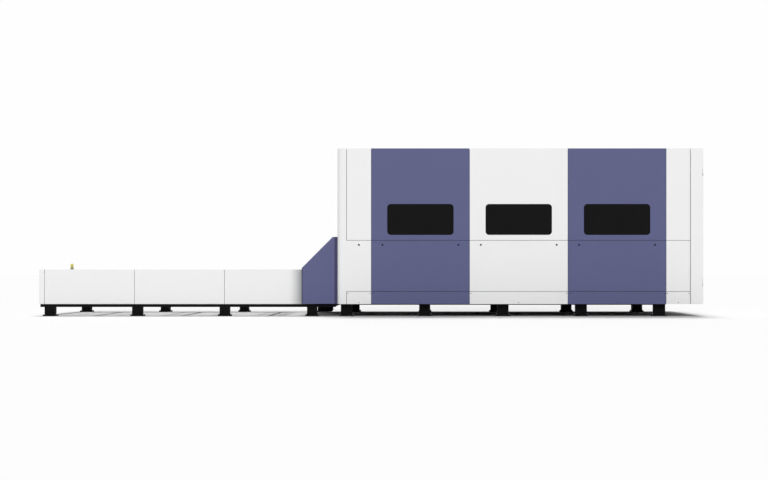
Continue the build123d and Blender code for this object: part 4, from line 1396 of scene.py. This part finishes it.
@dataclass
class CabinetFronts:
    """Vents, screen and switches on the equipment in the right-hand cabinet."""

    drive_front: float = 3.9895 + 0.005 + 0.175
    drives: tuple[float, ...] = (0.2, 0.38, 0.56, 0.74)
    drive_half: float = 0.075
    drive_z: Span = (1.45, 1.8)
    sunk: float = 0.001
    fine_edge: float = 0.001
    cover_half: float = 0.055
    cover_z: Span = (-0.12, -0.03)
    cover_proud: float = 0.006
    cover_edge: float = 0.003
    ribs: int = 9
    rib_pitch: float = 0.014
    rib_half: float = 0.06
    rib_low: float = 0.075
    rib: float = 0.006
    rib_proud: float = 0.004
    terminals: int = 6
    terminal_pitch: float = 0.02
    terminal_half: float = 0.007
    terminal_z: Span = (0.02, 0.05)
    terminal_proud: float = 0.008
    source_front: float = 4.3895
    source_y: Span = (-0.95, -0.35)
    source_top: float = 1.05
    screen_x: Span = (-0.0025, -0.0005)
    screen_inset: Span = (0.11, 0.21)
    screen_z: Span = (-0.245, -0.115)
    screen_edge: float = 0.0006
    knobs: int = 3
    knob_pitch: float = 0.05
    knob: float = 0.014
    knob_end: float = 0.012
    knob_high: float = 0.014
    knob_edge: float = 0.002
    knob_place: Point = (0.001, -0.155, -0.13)

    def plate(self, name: str, y: Span, z: Span, proud: float, edge: float, rounds: int = 1) -> Piece:
        """A block on a drive's front that stands out as far as proud."""
        front = self.drive_front
        return Bench.block(name, (front - self.sunk, front + proud), y, z, edge, rounds)

    def drive(self, middle: float) -> list[Piece]:
        """The cover, ribs and terminal strip on one drive.

        Args:
            middle: the drive's middle Y.

        Returns:
            The pieces.
        """
        low, high = self.drive_z
        pieces = [self.plate("cover", about(middle, self.cover_half), beside(high, self.cover_z),
                             self.cover_proud, self.cover_edge, 2)]
        for i in range(self.ribs):
            z = low + self.rib_low + self.rib_pitch * i
            pieces.append(self.plate("rib", about(middle, self.rib_half), (z, z + self.rib),
                                     self.rib_proud, self.fine_edge))
        for i in range(self.terminals):
            at = middle + self.terminal_pitch * (i - (self.terminals - 1) / 2)
            pieces.append(self.plate("terminal", about(at, self.terminal_half),
                                     beside(low, self.terminal_z), self.terminal_proud, self.fine_edge))
        return pieces

    def build(self) -> None:
        """Makes the drives' fronts, and the screen and switches of the laser source."""
        pieces = [piece for y in self.drives for piece in self.drive(y + self.drive_half)]
        dress(Bench.join("drive_fronts", pieces), Palette.DARK_PLASTIC, MACHINE)
        x, (low, high), top = self.source_front, self.source_y, self.source_top
        near, far = self.screen_inset
        screen = Bench.block("screen", beside(x, self.screen_x), (low + near, high - far),
                             beside(top, self.screen_z), self.screen_edge)
        dress(screen, Palette.SCREEN, MACHINE)
        out, back, down = self.knob_place
        knobs = [Bench.bar("knob", self.knob, (x + out, high + back, top + down - self.knob_pitch * i),
                           self.knob_high, Run.X, edge=self.knob_edge, end_radius=self.knob_end)
                 for i in range(self.knobs)]
        dress(Bench.join("source_switches", knobs), Palette.DARK_PLASTIC, MACHINE)


# Studio

@dataclass
class Studio:
    """The plain pale floor, the soft light and the camera at the photograph's place."""

    camera_place: Point = (0.7765, -18.52, 0.594)
    lens: float = 60.9
    sensor: float = 36.0
    shift: Span = (-0.0573, 0.0417)
    farthest: float = 500.0
    floor_size: float = 400.0
    floor_rough: float = 0.9
    ground: float = 0.787
    backdrop: float = 0.991
    sky: float = 0.5
    overhead: float = 1.95
    overhead_tilt: float = -17.0
    overhead_spread: float = 16.0
    front: float = 0.95
    front_tilt: float = 60.0
    front_spread: float = 30.0

    def floor(self) -> None:
        """Lays the floor."""
        bpy.ops.object.select_all(action="DESELECT")
        bpy.ops.mesh.primitive_plane_add(size=self.floor_size, location=(0, 0, 0))
        floor = Bench.settle("floor")
        material = bpy.data.materials.new("pale_floor")
        material.use_nodes = True
        shader = material.node_tree.nodes["Principled BSDF"]
        shader.inputs["Base Color"].default_value = (self.ground, self.ground, self.ground, 1)
        shader.inputs["Roughness"].default_value = self.floor_rough
        shader.inputs["Specular IOR Level"].default_value = 0.0
        floor.data.materials.append(material)

    def light(self) -> None:
        """Sets the sky, the soft light overhead and the fill from the front."""
        scene = bpy.context.scene
        scene.world = bpy.data.worlds.new("studio")
        scene.world.use_nodes = True
        graph = Graph(scene.world.node_tree)
        dim = graph.add("ShaderNodeBackground", (1, 1, 1, 1), self.sky)
        bright = graph.add("ShaderNodeBackground", (self.backdrop, self.backdrop, self.backdrop, 1), 1.0)
        seen = graph.add("ShaderNodeLightPath").outputs["Is Camera Ray"]
        mixed = graph.add("ShaderNodeMixShader", seen, dim.outputs[0], bright.outputs[0])
        graph.add("ShaderNodeOutputWorld", mixed.outputs[0])
        self.lamp("overhead", self.overhead, self.overhead_spread, self.overhead_tilt)
        self.lamp("front_fill", self.front, self.front_spread, self.front_tilt)
        scene.view_settings.view_transform = "Standard"

    def lamp(self, name: str, strength: float, spread: float, tilt: float) -> None:
        """Adds one distant soft lamp.

        Args:
            name: its name.
            strength: its strength.
            spread: how wide it looks from the machine, in degrees.
            tilt: how far it leans from straight down, in degrees, towards +Y where positive.
        """
        data = bpy.data.lights.new(name, "SUN")
        data.energy = strength
        data.angle = radians(spread)
        lamp = bpy.data.objects.new(name, data)
        lamp.rotation_euler = (radians(tilt), 0, 0)
        bpy.context.scene.collection.objects.link(lamp)

    def camera(self) -> None:
        """Places the camera."""
        data = bpy.data.cameras.new("view")
        data.lens = self.lens
        data.sensor_width = self.sensor
        data.shift_x, data.shift_y = self.shift
        data.clip_end = self.farthest
        camera = bpy.data.objects.new("view", data)
        camera.location = self.camera_place
        camera.rotation_euler = (pi / 2, 0, 0)
        bpy.context.scene.collection.objects.link(camera)
        bpy.context.scene.camera = camera

    def build(self) -> None:
        """Sets up the whole studio."""
        self.floor()
        self.light()
        self.camera()


@dataclass
class Machine:
    """The whole machine, from the frame's own finishes to the last screw."""

    pallet_length: float = 3.2
    axle_inset: float = 0.352
    pallets: tuple[tuple[str, float, float], ...] = (
        ("upper", TABLE_LEFT + 0.061, UPPER_LEVEL), ("lower", TABLE_LEFT + 4.461, LOWER_LEVEL),
    )
    parts: list[object] = field(default_factory=list)

    def paint_frame(self) -> None:
        """Gives every node of the frame the finish of its slot."""
        for node, piece in frame["nodes"].items():
            piece.data.materials.clear()
            piece.data.materials.append(Palette.of_node(node).value.material())

    def collect(self) -> None:
        """Lists the sub-assemblies in the order they are built."""
        self.parts = [
            EdgedNodes(), Windows(), QuarterTurnLocks(), PanelScrews(), HoodShadeStrips(), FootBolts(), SignalLamp(),
            *(PalletSlats(*pallet) for pallet in self.pallets), ChainPair(), GearMotor(), CabinetFronts(),
        ]
        for name, start, level in self.pallets:
            right = start + self.pallet_length - self.axle_inset
            for side, x in (("left", start + self.axle_inset), ("right", right)):
                self.parts.append(PalletWheels(f"{name}_wheels_{side}", f"{name}_axle_{side}", x, level))

    def build(self) -> None:
        """Builds every sub-assembly and reports each one."""
        self.paint_frame()
        self.collect()
        for part in self.parts:
            before = len(bpy.data.objects)
            part.build()
            log.info("%s added %d objects", type(part).__name__, len(bpy.data.objects) - before)


def main() -> None:
    """Builds the studio, the shared effects and the machine."""
    logging.basicConfig(level=logging.INFO, format="%(name)s: %(message)s")
    Studio().build()
    groups = SurfaceGroups
    for make in (groups.tone, groups.peel, groups.grain, groups.rub, groups.dust):
        make()
    Machine().build()


if __name__ == "__main__":
    main()
